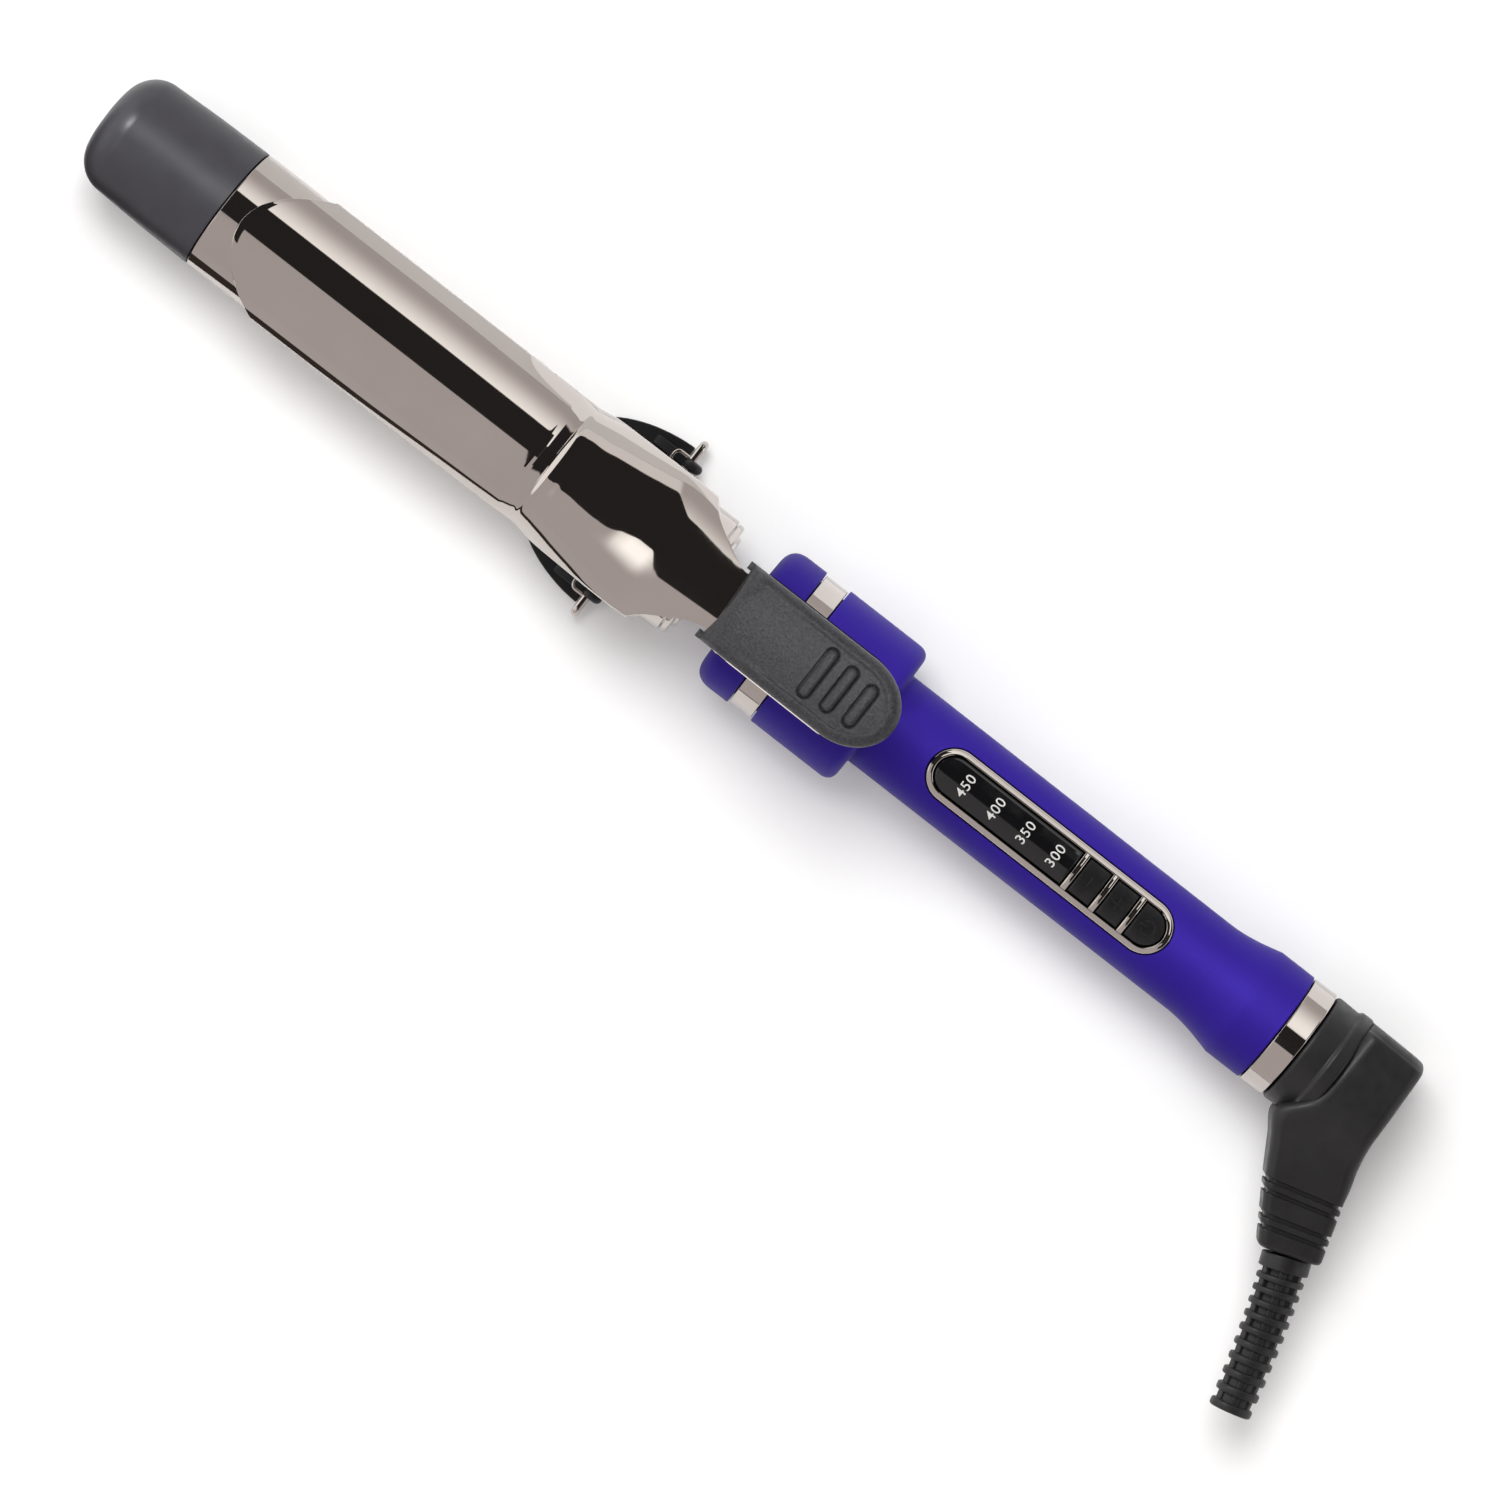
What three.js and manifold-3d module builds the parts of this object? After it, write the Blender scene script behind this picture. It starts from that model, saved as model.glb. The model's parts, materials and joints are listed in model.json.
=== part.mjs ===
// Spring-clamp curling iron with a 1 1/4 inch barrel. Millimetres, +Z up.
//
// The tool lies along X: the tip points to -X and the cord leaves at +X. Z = 0 is the plane that it rests on.
// Places along the tool are stations, measured from the tip. The origin is on the rest stand's front bar,
// at station ORIGIN_STATION, halfway across the tool.

import * as THREE from 'three';
import { mergeVertices } from 'three/addons/utils/BufferGeometryUtils.js';
import Module from 'manifold-3d';

const wasm = await Module();
wasm.setup();

// ---------------------------------------------------------------- driving dimensions

const ORIGIN_STATION = 130;
const AXIS_Z = 19;                 // height of the barrel's axis when the iron lies on its stand
const GAP = 0.3;                   // clearance between pieces that touch
const ROUND = 36;                  // facets round the large turned pieces
const SMALL_ROUND = 16;            // facets round pins, screws and rings under 10 mm
const PIN_ROUND = 12;              // facets round the smallest pins, rivets and holes
const CLEAR = 1;                   // how far a cutting shape runs past what it cuts
const OUTSIDE = 20;                // further from the axis than any tube here

// Heated barrel
const CAP_END = 34.9;
const CAP_NOSE_R = 6.6;            // flat nose
const CAP_CORNER = 8.5;
const CAP_WALL = 5;                // thickness of the nose
const CAP_BORE_R = 11.5;
const SPIGOT_LENGTH = 7;           // of the cap, inside the tube
const BARREL_R = 15.875;           // 1 1/4 inch barrel
const BARREL_BORE_R = 14.7;
const BARREL_END = 173.6;
const END_CAP_END = 176.6;
const END_CAP_R = 15.5;
const END_CAP_CORNER = 2.2;
const END_CAP_INNER = 166;         // how far the end cap reaches into the tube
const SPIGOT_R = 14.3;
const NECK_R = 7.3;
const NECK_BORE_R = 6.2;
const NECK_START = 162;
const NECK_END = 200;

// Heater inside the barrel
const SPREADER = [50, 150];        // stations of its two ends
const SPREADER_R = 14.2;
const SPREADER_FLAT = 2.1;         // from the axis to its flat face
const HEATER = [54, 148];
const HEATER_HALF = 9;
const HEATER_THICKNESS = 3.4;
const SENSOR_STATION = 104;
const SENSOR_R = 1.2;
const SENSOR_HEIGHT = 4.4;         // above the axis
const SENSOR_WELL_TOP = 3.6;       // above the sensor
const LEAD_R = 0.7;
// Stations and distances from the axis that each heater lead runs through
const HEATER_LEAD = [[HEATER[1] + 0.5, 3], [175, 3.6], [228, 4.4], [237.4, 4.4]];

// Collar and handle
const COLLAR_START = 186.5;
const COLLAR_R = 19;
const COLLAR_FRONT_CORNER = 6;
const BAND_START = 197.1;
const BAND_END = 203.4;
const BAND_R = 18.5;
const COLLAR_END = 227.2;
const COLLAR_REAR_CORNER = 4;
const COLLAR_BORE_R = 16.9;
const COLLAR_FACE_END = 192;       // back of the collar's front wall
const COLLAR_BORE_END = 223.5;
const SLEEVE_R = 16.4;
const SLEEVE_BORE_R = 14.8;
const SLEEVE_END = 207;
const GRIP_R = 12.3;
const GRIP_BORE_R = 10.3;
const FLARE_START = 321;
const FLARE_END = 334.3;
const FLARE_R = 14.5;
const FLARE_BORE_R = 12.6;
const HANDLE_END = 343.8;
const RING_END = 350.4;
const RING_BORE_R = 12.6;
const BUSHING_START = 336;

// Control panel: a stadium-shaped frame let into the top of the grip
const PANEL_START = 242.4;
const PANEL_END = 311.3;
const PANEL_HALF = 6.5;
const PANEL_RIM = 1.6;
const PANEL_TOP_R = 12.8;          // its top follows the grip, slightly proud
const WINDOW_END = 283.6;
const KEYS = [                     // name, start and end station of each key
  ['minus', 285.2, 291.8],
  ['plus', 293.4, 300.0],
  ['power', 301.6, PANEL_END - PANEL_RIM],
];
const KEY_TOP_R = 12.7;
const KEY_SKIRT_R = 10.9;
const KEY_STEM_R = 1.5;
const SWITCH_SIZE = 5;
const LEVEL_STATIONS = [252.4, 261.1, 269.9, 278.6];
const BOARD_TOP = 4.4;             // above the axis
const BOARD_THICKNESS = 1.2;
const BOARD_HALF = 7.4;
const BOARD_ENDS = [238, 312];
const LAMP_HALF = [1, 1.6];        // along and across the tool
const LAMP_HEIGHT = 1.4;
const SWITCH_BODY = 2;             // height of a key switch without its plunger
const SWITCH_HEIGHT = 3.2;
const PLUNGER_R = 1.3;
const KEY_TRAVEL_GAP = 0.8;        // between a key's stem and its switch

// Screws that hold the two handle shells together, put in from below
const SCREW_STATIONS = [['front', 233], ['rear', 317]];
const SCREW_R = 1.2;
const SCREW_HEAD_R = 2.5;
const SCREW_HEAD_HEIGHT = 1.3;
const SCREW_TOP = 4;               // above the axis
const SCREW_HOLE_R = 1.6;
const COUNTERBORE_R = 2.9;
const WELL_R = 3.3;
const WELL_TOP = 2.8;              // below the axis
const BOSS_R = 2.5;
const BOSS_BOTTOM = 2.5;           // below the axis
const BOSS_HOLE_R = 1.5;
const BOSS_HOLE_TOP = 6;           // above the axis

// Clamp: a pressed sheet that hugs the barrel, rises over the hinge and runs on under the thumb pad
const SHEET = 0.7;
const CLAMP_START = 39;
const CLAMP_NOSE = 14;             // length over which the front edge is rounded
const PAD_START = 182.8;
const PAD_STRAIGHT_END = 217.4;
const PAD_NOSE = 13.8;             // length of the pad's rounded rear end
const PAD_HALF = 10.75;
const PAD_EDGE = 1.5;
const PAD_THICKNESS = 3.6;
const TONGUE_HALF = 10.9;
const SHEET_ROWS = [142.5, 154, 163, 172, 176, 180];        // extra rows where the sheet bends slowly
const PAD_ROWS = [PAD_START, 187, 193, 200, 207, PAD_STRAIGHT_END];
const RIVET_STATIONS = [['front', 192], ['rear', 222]];
const RIVET_R = 1.2;
const RIVET_HOLE_R = 1.5;
const RIVET_HEAD_R = 2.4;
const RIVET_HEAD_HEIGHT = 1;
const RIVET_REACH = 1.8;           // into the pad
const RIVET_HOLE_DEPTH = 2.2;      // in the pad
// station, half width, crown height above the axis, side radius, crown radius
const CLAMP_FORM = [
  [39.0, 16.84, 16.85, 16.85, 16.85],
  [126.0, 16.84, 16.85, 16.85, 16.85],
  [128.6, 16.6, 16.85, 16.85, 16.85],
  [131.2, 16.1, 16.9, 16.85, 16.9],
  [134.0, 17.1, 17.8, 17.2, 17.7],
  [137.0, 17.6, 18.8, 17.63, 18.6],
  [148.0, 17.6, 21.8, 17.65, 20.6],
  [160.0, 17.6, 25.2, 17.75, 23.4],
  [166.2, 17.4, 26.2, 18.2, 23.9],
  [168.0, 15.6, 26.45, 18.8, 24.4],
  [170.0, 13.9, 26.7, 19.5, 25],
  [173.9, 11.3, 27.2, 22.5, 28],
  [177.9, 9.1, 27.7, 29, 33],
  [182.3, 7.9, 28.3, 45, 45],
  [184.3, 8.2, 28.62, 45, 45],
  [186.3, 10.6, 28.94, 45, 45],
  [188.3, 10.9, 29.26, 45, 45],
  [231.2, 10.9, 36.4, 45, 45],
];

// Clamp hinge
const HINGE_STATION = 160;
const HINGE_Z = 38.5;
const HINGE_PIN_R = 1.2;
const HINGE_HOLE_R = 1.5;
const HINGE_EYE_R = 2.6;
const BRACKET_EAR = [5.2, 6.0];    // across the tool, each side
const LUG = [6.4, 7.2];
const LUG_HALF = 6;                // half the width of a lug where it meets the sheet
const LUG_DROP = 0.4;              // of the lug's corners, below the pin
const BRACKET_HALF = 6;            // half the length of the saddle on the barrel
const BRACKET_EAR_HALF = 4.5;
const SADDLE_HALF = 10;            // across the tool
const STRAP_THICKNESS = 0.7;       // of both brackets
const STRAP_INNER_R = BARREL_R + GAP + 0.05;
const PIN_HEAD_R = 1.8;
const PIN_HEAD = 0.6;              // thickness of each head
const SPRING_WIRE_R = 0.42;
const SPRING_COIL_R = 1.9;
const SPRING_TURNS = 4;
const SPRING_PITCH = 1.5;
const SPRING_LEG_SHARE = 0.12;     // of the wire's length, for each leg
const SPRING_FRONT_LEG = 4.5;
const SPRING_REAR_LEG = [5, 0.6];  // along the tool and up

// Rest stand, folded flat under the barrel
const STAND_START = 126;
const STAND_END = 154.2;
const STAND_LENGTH = 30;           // half axis of the plate's rounded outline along the tool
const STAND_HALF = 23;
const STAND_THICKNESS = 1.8;
const STAND_BAR = 9;
const STAND_WINDOW_HALF = 14;
const STAND_PIVOT_STATION = 156.6;
const STAND_PIVOT_Z = 6.5;
const STAND_BOSS_R = 2.45;
const STAND_EAR = [17.8, 20.3];
const STAND_BRACKET_EAR = [16.4, 17.2];
const STAND_PIN_R = 1.0;
const STAND_HOLE_R = 1.3;
const STAND_EAR_START = 145;
const STAND_EAR_STEP = [147, 3];       // station and height where the ear leaves the plate
const STAND_EAR_RISE = [154.6, 3.4];   // where it turns up to the pivot
const STAND_STRAP_HALF = 3.5;
const STAND_STRAP_TOP = 3;         // below the axis
const STAND_STRAP_WIDTH = 18;
const STAND_STRAP_EYE_R = 3.3;
const STAND_WIRE_R = 0.95;
// Station, distance from the axis and height above the pivot along each wire
const STAND_WIRE = [
  [152.4, 17.9, 0],
  [152.5, 19.6, 0],
  [153.8, 21.5, 0],
  [155.9, 22.4, 0],
  [156.3, 24.0, 0],
  [156.3, 24.5, -1.2],
  [156.3, 24.5, -3.2],
];

// Swivel elbow and its strain relief
const SWIVEL_START = 350.8;
const SWIVEL_R = 14.2;
const BEAD_START = 357.3;
const BEAD_END = 361.2;
const BEAD_R = 15;
const SPIGOT_START = 341;
const SWIVEL_SPIGOT_R = 9.2;
const SPINDLE_START = 323;
const SPINDLE_R = 4.8;
const SPINDLE_BORE_R = 3;
const CORD_BORE_R = 3.6;
const SLIP_RING_R = 6.1;
const SLIP_RINGS = [['live', 325.5], ['neutral', 332]];
const SLIP_RING_WIDTH = 3;
const BRUSH_HALF = 2.5;
const BRUSH_THICKNESS = 0.6;
const SHAFT_BORE_END = 366;
const BEAD_CORNER = 1.95;
const HUB_REACH = 6;               // of the hub inside the elbow, past its bead
// Left and right corner in plan, half height and bevel of each section through the elbow
const ELBOW_SECTIONS = [
  [[360.5, 14.2], [374.6, 14.2], 9.5, 2],
  [[358.8, 13.0], [376.3, 12.4], 11.6, 2.2],
  [[358.8, -8], [377.3, -9], 12.0, 2.4],
  [[354.6, -14.9], [378.6, -14.2], 11.2, 2.4],
  [[358.2, -21.2], [379.9, -18.8], 10.0, 2.2],
];
// The outlet narrows from one section to the other. Its grooves are shares of the way along it.
const OUTLET_FROM = [[361.8, -27.5], [380.9, -22.5], 8.8];
const OUTLET_TO = [[371.2, -42.5], [385.8, -37.6], 6.8];
const OUTLET_BEVEL = 1.9;
const OUTLET_GROOVES = [[0, 0.08], [0.17, 0.25], [0.5, 0.58], [0.67, 0.75]];
const OUTLET_GROOVE_DEPTH = 0.9;
const CORD_BORE = [[364.5, 0], [379.4, -42.5]];
// Start, bend point and end of the strain relief in plan
const RELIEF_PATH = [[378.75, -40.75], [384.7, -55.2], [390.3, -77.2]];
const RELIEF_NECK = 0.1;           // share of the sleeve before its first rib
const RELIEF_NECK_R = [6, 5.8];
const RELIEF_RIB_R = [5.85, 5.15]; // first rib, last rib
const RELIEF_RIBS = 10;
const RELIEF_CORE_R = 4.7;

// ---------------------------------------------------------------- materials

function finish(color, roughness, metalness) {
  return new THREE.MeshStandardMaterial({ color, roughness, metalness });
}

const PLATED = finish(0xb9aea4, 0.12, 1);
const VIOLET = finish(0x35209a, 0.38, 0.35);
const CHARCOAL = finish(0x46454a, 0.7, 0);
const BLACK = finish(0x1d1c1f, 0.6, 0);
const GLOSS_BLACK = finish(0x0b0b0c, 0.08, 0);
const STEEL = finish(0x8f9194, 0.35, 1);
const ALUMINIUM = finish(0xb7babd, 0.45, 1);
const BRASS = finish(0xb08a3e, 0.3, 1);
const CERAMIC = finish(0xe8e2d6, 0.8, 0);
const BOARD = finish(0x1f5a34, 0.6, 0);
const RED = finish(0x9c2018, 0.5, 0);
const BLUE = finish(0x1d4fa3, 0.5, 0);
const LAMP = finish(0xd8d8d0, 0.3, 0);

// ---------------------------------------------------------------- solids

const model = new THREE.Group();

function x(station) {
  return station - ORIGIN_STATION;
}

/** Leaves out triangles that have shrunk to a line, and turns the faces outwards. */
function cleanTriangles(index, positions) {
  const kept = [];
  let volume = 0;
  const a = new THREE.Vector3();
  const b = new THREE.Vector3();
  const c = new THREE.Vector3();
  for (let i = 0; i < index.length; i += 3) {
    const [p, q, r] = [index[i], index[i + 1], index[i + 2]];
    if (p === q || q === r || r === p) continue;
    kept.push(p, q, r);
    a.fromArray(positions, 3 * p);
    b.fromArray(positions, 3 * q);
    c.fromArray(positions, 3 * r);
    volume += a.dot(b.cross(c));
  }
  return new Uint32Array(volume < 0 ? kept.reverse() : kept);
}

/** A closed geometry as a solid that can be joined and cut. */
function solid(geometry) {
  geometry.deleteAttribute('normal');
  geometry.deleteAttribute('uv');
  const merged = mergeVertices(geometry, 1e-4);
  const vertProperties = new Float32Array(merged.attributes.position.array);
  const triVerts = cleanTriangles(merged.index.array, vertProperties);
  return new wasm.Manifold(new wasm.Mesh({ numProp: 3, vertProperties, triVerts }));
}

/** Adds one named piece to the model. */
function piece(name, shape, material) {
  const { vertProperties, triVerts } = shape.getMesh();
  const geometry = new THREE.BufferGeometry();
  geometry.setAttribute('position', new THREE.BufferAttribute(vertProperties, 3));
  geometry.setIndex(new THREE.BufferAttribute(triVerts, 1));
  geometry.computeVertexNormals();
  const mesh = new THREE.Mesh(geometry, material.clone());
  mesh.name = name;
  model.add(mesh);
}

/** Turned about the tool's axis from a closed outline of [station, radius] points. */
function turned(outline, facets = ROUND) {
  const points = [...outline, outline[0]].map(([station, radius]) => new THREE.Vector2(radius, x(station)));
  const geometry = new THREE.LatheGeometry(points, facets);
  geometry.rotateZ(-Math.PI / 2);
  geometry.translate(0, 0, AXIS_Z);
  return solid(geometry);
}

function ring(start, end, outer, inner, facets = ROUND) {
  return turned([[start, inner], [start, outer], [end, outer], [end, inner]], facets);
}

function rod(start, end, radius, facets = ROUND) {
  return turned([[start, 0], [start, radius], [end, radius], [end, 0]], facets);
}

/** Points of a round corner in a turned outline, from one angle to another in degrees. */
function corner(station, radius, size, from, to, steps = 4) {
  const points = [];
  for (let i = 0; i <= steps; i += 1) {
    const angle = THREE.MathUtils.degToRad(from + (to - from) * i / steps);
    points.push([station + size * Math.cos(angle), radius + size * Math.sin(angle)]);
  }
  return points;
}

/** A box between two stations, two places across the tool and two heights above the rest plane. */
function block(stations, across, heights) {
  const size = [stations, across, heights].map(([low, high]) => high - low);
  const centre = [stations, across, heights].map(([low, high]) => (high + low) / 2);
  const geometry = new THREE.BoxGeometry(...size);
  geometry.translate(x(centre[0]), centre[1], centre[2]);
  return solid(geometry);
}

/** A round bar across the tool. */
function crossBar(station, height, radius, across, facets = SMALL_ROUND) {
  const geometry = new THREE.CylinderGeometry(radius, radius, across[1] - across[0], facets);
  geometry.translate(x(station), (across[0] + across[1]) / 2, height);
  return solid(geometry);
}

/** An upright round bar. */
function post(station, across, radius, heights, facets = SMALL_ROUND) {
  const geometry = new THREE.CylinderGeometry(radius, radius, heights[1] - heights[0], facets);
  geometry.rotateX(Math.PI / 2);
  geometry.translate(x(station), across, (heights[0] + heights[1]) / 2);
  return solid(geometry);
}

/** A pair of distances across the tool, for the left (1) or right (-1) side, lower one first. */
function mirrored([near, far], side) {
  return side > 0 ? [near, far] : [-far, -near];
}

/** A flat shape drawn in plan, given thickness between two heights. */
function slab(shape, heights, curveSegments = 8) {
  const geometry = new THREE.ExtrudeGeometry(shape, {
    depth: heights[1] - heights[0],
    bevelEnabled: false,
    curveSegments,
  });
  geometry.translate(0, 0, heights[0]);
  return solid(geometry);
}

/** A flat shape drawn in side view as [station, height], given thickness across the tool. */
function sidePlate(outline, across) {
  const shape = new THREE.Shape(outline.map(([station, height]) => new THREE.Vector2(x(station), height)));
  const geometry = new THREE.ExtrudeGeometry(shape, { depth: across[1] - across[0], bevelEnabled: false });
  geometry.rotateX(Math.PI / 2);
  geometry.translate(0, across[1], 0);
  return solid(geometry);
}

/** Plan outline with a rounded or square end at each side. */
function panelOutline(start, end, half, roundStart, roundEnd) {
  const shape = new THREE.Shape();
  shape.moveTo(x(roundStart ? start + half : start), half);
  if (roundStart) shape.absarc(x(start + half), 0, half, Math.PI / 2, 1.5 * Math.PI, false);
  else shape.lineTo(x(start), -half);
  if (roundEnd) shape.absarc(x(end - half), 0, half, -Math.PI / 2, Math.PI / 2, false);
  else {
    shape.lineTo(x(end), -half);
    shape.lineTo(x(end), half);
  }
  return shape;
}

/** Wire along a smooth line through points of [station, across, height]. */
function wire(points, radius, steps, sides = 8) {
  const path = new THREE.CatmullRomCurve3(points.map(([s, y, z]) => new THREE.Vector3(x(s), y, z)));
  return wireAlong(path, radius, steps, sides);
}

function wireAlong(path, radius, steps, sides) {
  const section = new THREE.Shape();
  section.absarc(0, 0, radius, 0, 2 * Math.PI, false);
  return solid(new THREE.ExtrudeGeometry(section, {
    extrudePath: path,
    steps,
    curveSegments: sides / 2,
    bevelEnabled: false,
  }));
}

/** Joins rings of points, all with the same count, into a closed skin: a tunnel, or capped at both ends. */
function loft(rings, tunnel = false) {
  const count = rings[0].length;
  const positions = rings.flat().flatMap((point) => point.toArray());
  const index = [];
  const last = tunnel ? rings.length : rings.length - 1;
  for (let i = 0; i < last; i += 1) {
    const here = i * count;
    const next = ((i + 1) % rings.length) * count;
    for (let j = 0; j < count; j += 1) {
      const k = (j + 1) % count;
      index.push(here + j, here + k, next + k, here + j, next + k, next + j);
    }
  }
  if (!tunnel) {
    const end = (rings.length - 1) * count;
    for (let j = 1; j < count - 1; j += 1) {
      index.push(0, j + 1, j, end, end + j, end + j + 1);
    }
  }
  return solid(bufferGeometry(positions, index));
}

function bufferGeometry(positions, index) {
  const geometry = new THREE.BufferGeometry();
  geometry.setAttribute('position', new THREE.Float32BufferAttribute(positions, 3));
  geometry.setIndex(index);
  return geometry;
}

/** A plate between a top grid and a bottom grid of points, closed round its four edges. */
function plate(top, bottom) {
  const rows = top.length;
  const columns = top[0].length;
  const positions = [...top.flat(), ...bottom.flat()].flatMap((point) => point.toArray());
  const below = rows * columns;
  const index = [];
  const quad = (a, b, c, d) => index.push(a, b, c, a, c, d);
  for (let i = 0; i < rows - 1; i += 1) {
    for (let j = 0; j < columns - 1; j += 1) {
      const a = i * columns + j;
      quad(a, a + 1, a + columns + 1, a + columns);
      quad(below + a, below + a + columns, below + a + columns + 1, below + a + 1);
    }
  }
  for (let j = 0; j < columns - 1; j += 1) {
    const a = (rows - 1) * columns + j;
    quad(j + 1, j, below + j, below + j + 1);
    quad(a, a + 1, below + a + 1, below + a);
  }
  for (let i = 0; i < rows - 1; i += 1) {
    const a = i * columns;
    const b = a + columns - 1;
    quad(a, a + columns, below + a + columns, below + a);
    quad(b + columns, b, below + b, below + b + columns);
  }
  return solid(bufferGeometry(positions, index));
}

// ---------------------------------------------------------------- heated barrel

function tipCap() {
  const nose = corner(CAP_CORNER, CAP_NOSE_R, CAP_CORNER, 180, 96, 6);
  return turned([
    [0, 0],
    ...nose,
    [CAP_END, BARREL_R],
    [CAP_END, SPIGOT_R],
    [CAP_END + SPIGOT_LENGTH, SPIGOT_R],
    [CAP_END + SPIGOT_LENGTH, CAP_BORE_R],
    [CAP_WALL, CAP_BORE_R],
    [CAP_WALL, 0],
  ]);
}

function barrel() {
  piece('tip_cap', tipCap(), CHARCOAL);
  piece('barrel_tube', ring(CAP_END + GAP, BARREL_END, BARREL_R, BARREL_BORE_R), PLATED);
  const rearCap = turned([
    [BARREL_END + GAP, END_CAP_R],
    ...corner(END_CAP_END - END_CAP_CORNER, END_CAP_R - END_CAP_CORNER - 0.1, END_CAP_CORNER, 80, 0, 3),
    [END_CAP_END, NECK_R + GAP],
    [END_CAP_INNER, NECK_R + GAP],
    [END_CAP_INNER, SPIGOT_R],
    [BARREL_END + GAP, SPIGOT_R],
  ]);
  piece('barrel_end_cap', rearCap, PLATED);
  piece('neck_tube', ring(NECK_START, NECK_END, NECK_R, NECK_BORE_R, 24), STEEL);
}

/** One half-round aluminium block that carries heat from the flat element to the tube. */
function spreader(upper) {
  const [start, end] = SPREADER;
  const round = rod(start, end, SPREADER_R, 32);
  const above = [AXIS_Z + SPREADER_FLAT, AXIS_Z + BARREL_R];
  const below = [AXIS_Z - BARREL_R, AXIS_Z - SPREADER_FLAT];
  const half = round.intersect(block([start - 1, end + 1], [-BARREL_R, BARREL_R], upper ? above : below));
  if (!upper) return half;
  const wellTop = AXIS_Z + SENSOR_HEIGHT + SENSOR_WELL_TOP;
  const sensorWell = post(SENSOR_STATION, 0, SENSOR_R + 0.4, [AXIS_Z, wellTop]);
  return half.subtract(sensorWell);
}

function heater() {
  piece('heat_spreader_upper', spreader(true), ALUMINIUM);
  piece('heat_spreader_lower', spreader(false), ALUMINIUM);
  const heights = [AXIS_Z - HEATER_THICKNESS / 2, AXIS_Z + HEATER_THICKNESS / 2];
  piece('heating_element', block(HEATER, [-HEATER_HALF, HEATER_HALF], heights), CERAMIC);
  const sensor = new THREE.SphereGeometry(SENSOR_R, 12, 8);
  sensor.translate(x(SENSOR_STATION), 0, AXIS_Z + SENSOR_HEIGHT);
  piece('temperature_sensor', solid(sensor), GLOSS_BLACK);
  for (const [name, side, color] of [['live', 1, RED], ['neutral', -1, BLUE]]) {
    const route = HEATER_LEAD.map(([station, across]) => [station, across * side, AXIS_Z]);
    piece(`heater_lead_${name}`, wire(route, LEAD_R, 8, 6), color);
  }
}

// ---------------------------------------------------------------- clamp

/** Smooth value between the rows of CLAMP_FORM, as [half width, crown, side radius, crown radius]. */
function clampForm(station) {
  const rows = CLAMP_FORM;
  let i = 0;
  while (i < rows.length - 2 && station > rows[i + 1][0]) i += 1;
  const span = rows[i + 1][0] - rows[i][0];
  const t = THREE.MathUtils.clamp((station - rows[i][0]) / span, 0, 1);
  const slope = (j, column) => {
    const before = rows[Math.max(j - 1, 0)];
    const after = rows[Math.min(j + 1, rows.length - 1)];
    const left = (rows[j][column] - before[column]) / (rows[j][0] - before[0] || 1);
    const right = (after[column] - rows[j][column]) / (after[0] - rows[j][0] || 1);
    return left * right > 0 ? (2 * left * right) / (left + right) : 0;
  };
  return [1, 2, 3, 4].map((column) => {
    const from = rows[i][column];
    const to = rows[i + 1][column];
    const blend = (2 * t ** 3 - 3 * t ** 2 + 1) * from + (3 * t ** 2 - 2 * t ** 3) * to;
    const leaving = (t ** 3 - 2 * t ** 2 + t) * slope(i, column);
    const arriving = (t ** 3 - t ** 2) * slope(i + 1, column);
    return blend + span * (leaving + arriving);
  });
}

/** Point on the clamp sheet: side runs from -1 to 1 across it, depth is how far under its outer face. */
function clampPoint(station, side, depth, halfWidth) {
  const [formHalf, crown, sideR, crownR] = clampForm(station);
  const half = halfWidth ?? formHalf;
  const angle = side * Math.asin(Math.min(half / sideR, 1));
  const normal = new THREE.Vector2(crownR * Math.sin(angle), sideR * Math.cos(angle)).normalize();
  return new THREE.Vector3(
    x(station),
    sideR * Math.sin(angle) - depth * normal.x,
    AXIS_Z + crown - crownR * (1 - Math.cos(angle)) - depth * normal.y,
  );
}

/** The sheet's rows from front to back, as functions from side to [station, half width]. */
function clampRows() {
  const noseEnd = CLAMP_START + CLAMP_NOSE + 3;
  const rows = [0, 1 / 3, 2 / 3, 1].map((along) => (side) => {
    const edge = CLAMP_START + CLAMP_NOSE * (1 - Math.cos(side * Math.PI / 2));
    return [edge + (noseEnd - edge) * along];
  });
  const bends = CLAMP_FORM.map((row) => row[0]).filter((s) => s > noseEnd && s < PAD_STRAIGHT_END);
  for (const station of [...bends, ...SHEET_ROWS, PAD_STRAIGHT_END].sort((a, b) => a - b)) {
    rows.push(() => [station]);
  }
  for (const degrees of [20, 40, 60, 80]) {
    const angle = THREE.MathUtils.degToRad(degrees);
    rows.push(() => [PAD_STRAIGHT_END + PAD_NOSE * Math.sin(angle), TONGUE_HALF * Math.cos(angle)]);
  }
  return rows;
}

function clampPlate() {
  const columns = 14;
  const grid = (depth) => clampRows().map((row) => {
    const points = [];
    for (let j = 0; j <= columns; j += 1) {
      const side = 2 * j / columns - 1;
      const [station, half] = row(side);
      points.push(clampPoint(station, side, depth, half));
    }
    return points;
  });
  let sheet = plate(grid(0), grid(SHEET));
  for (const [, station] of RIVET_STATIONS) {
    const crown = AXIS_Z + clampForm(station)[1];
    const through = [crown - OUTSIDE / 2, crown + OUTSIDE / 2];
    sheet = sheet.subtract(post(station, 0, RIVET_HOLE_R, through, PIN_ROUND));
  }
  return sheet;
}

/** Height of the pad's underside, which follows the sheet below it. */
function padBase(station, across) {
  const [, crown, , crownR] = clampForm(station);
  return AXIS_Z + crown + GAP - across ** 2 / (2 * crownR);
}

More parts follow.
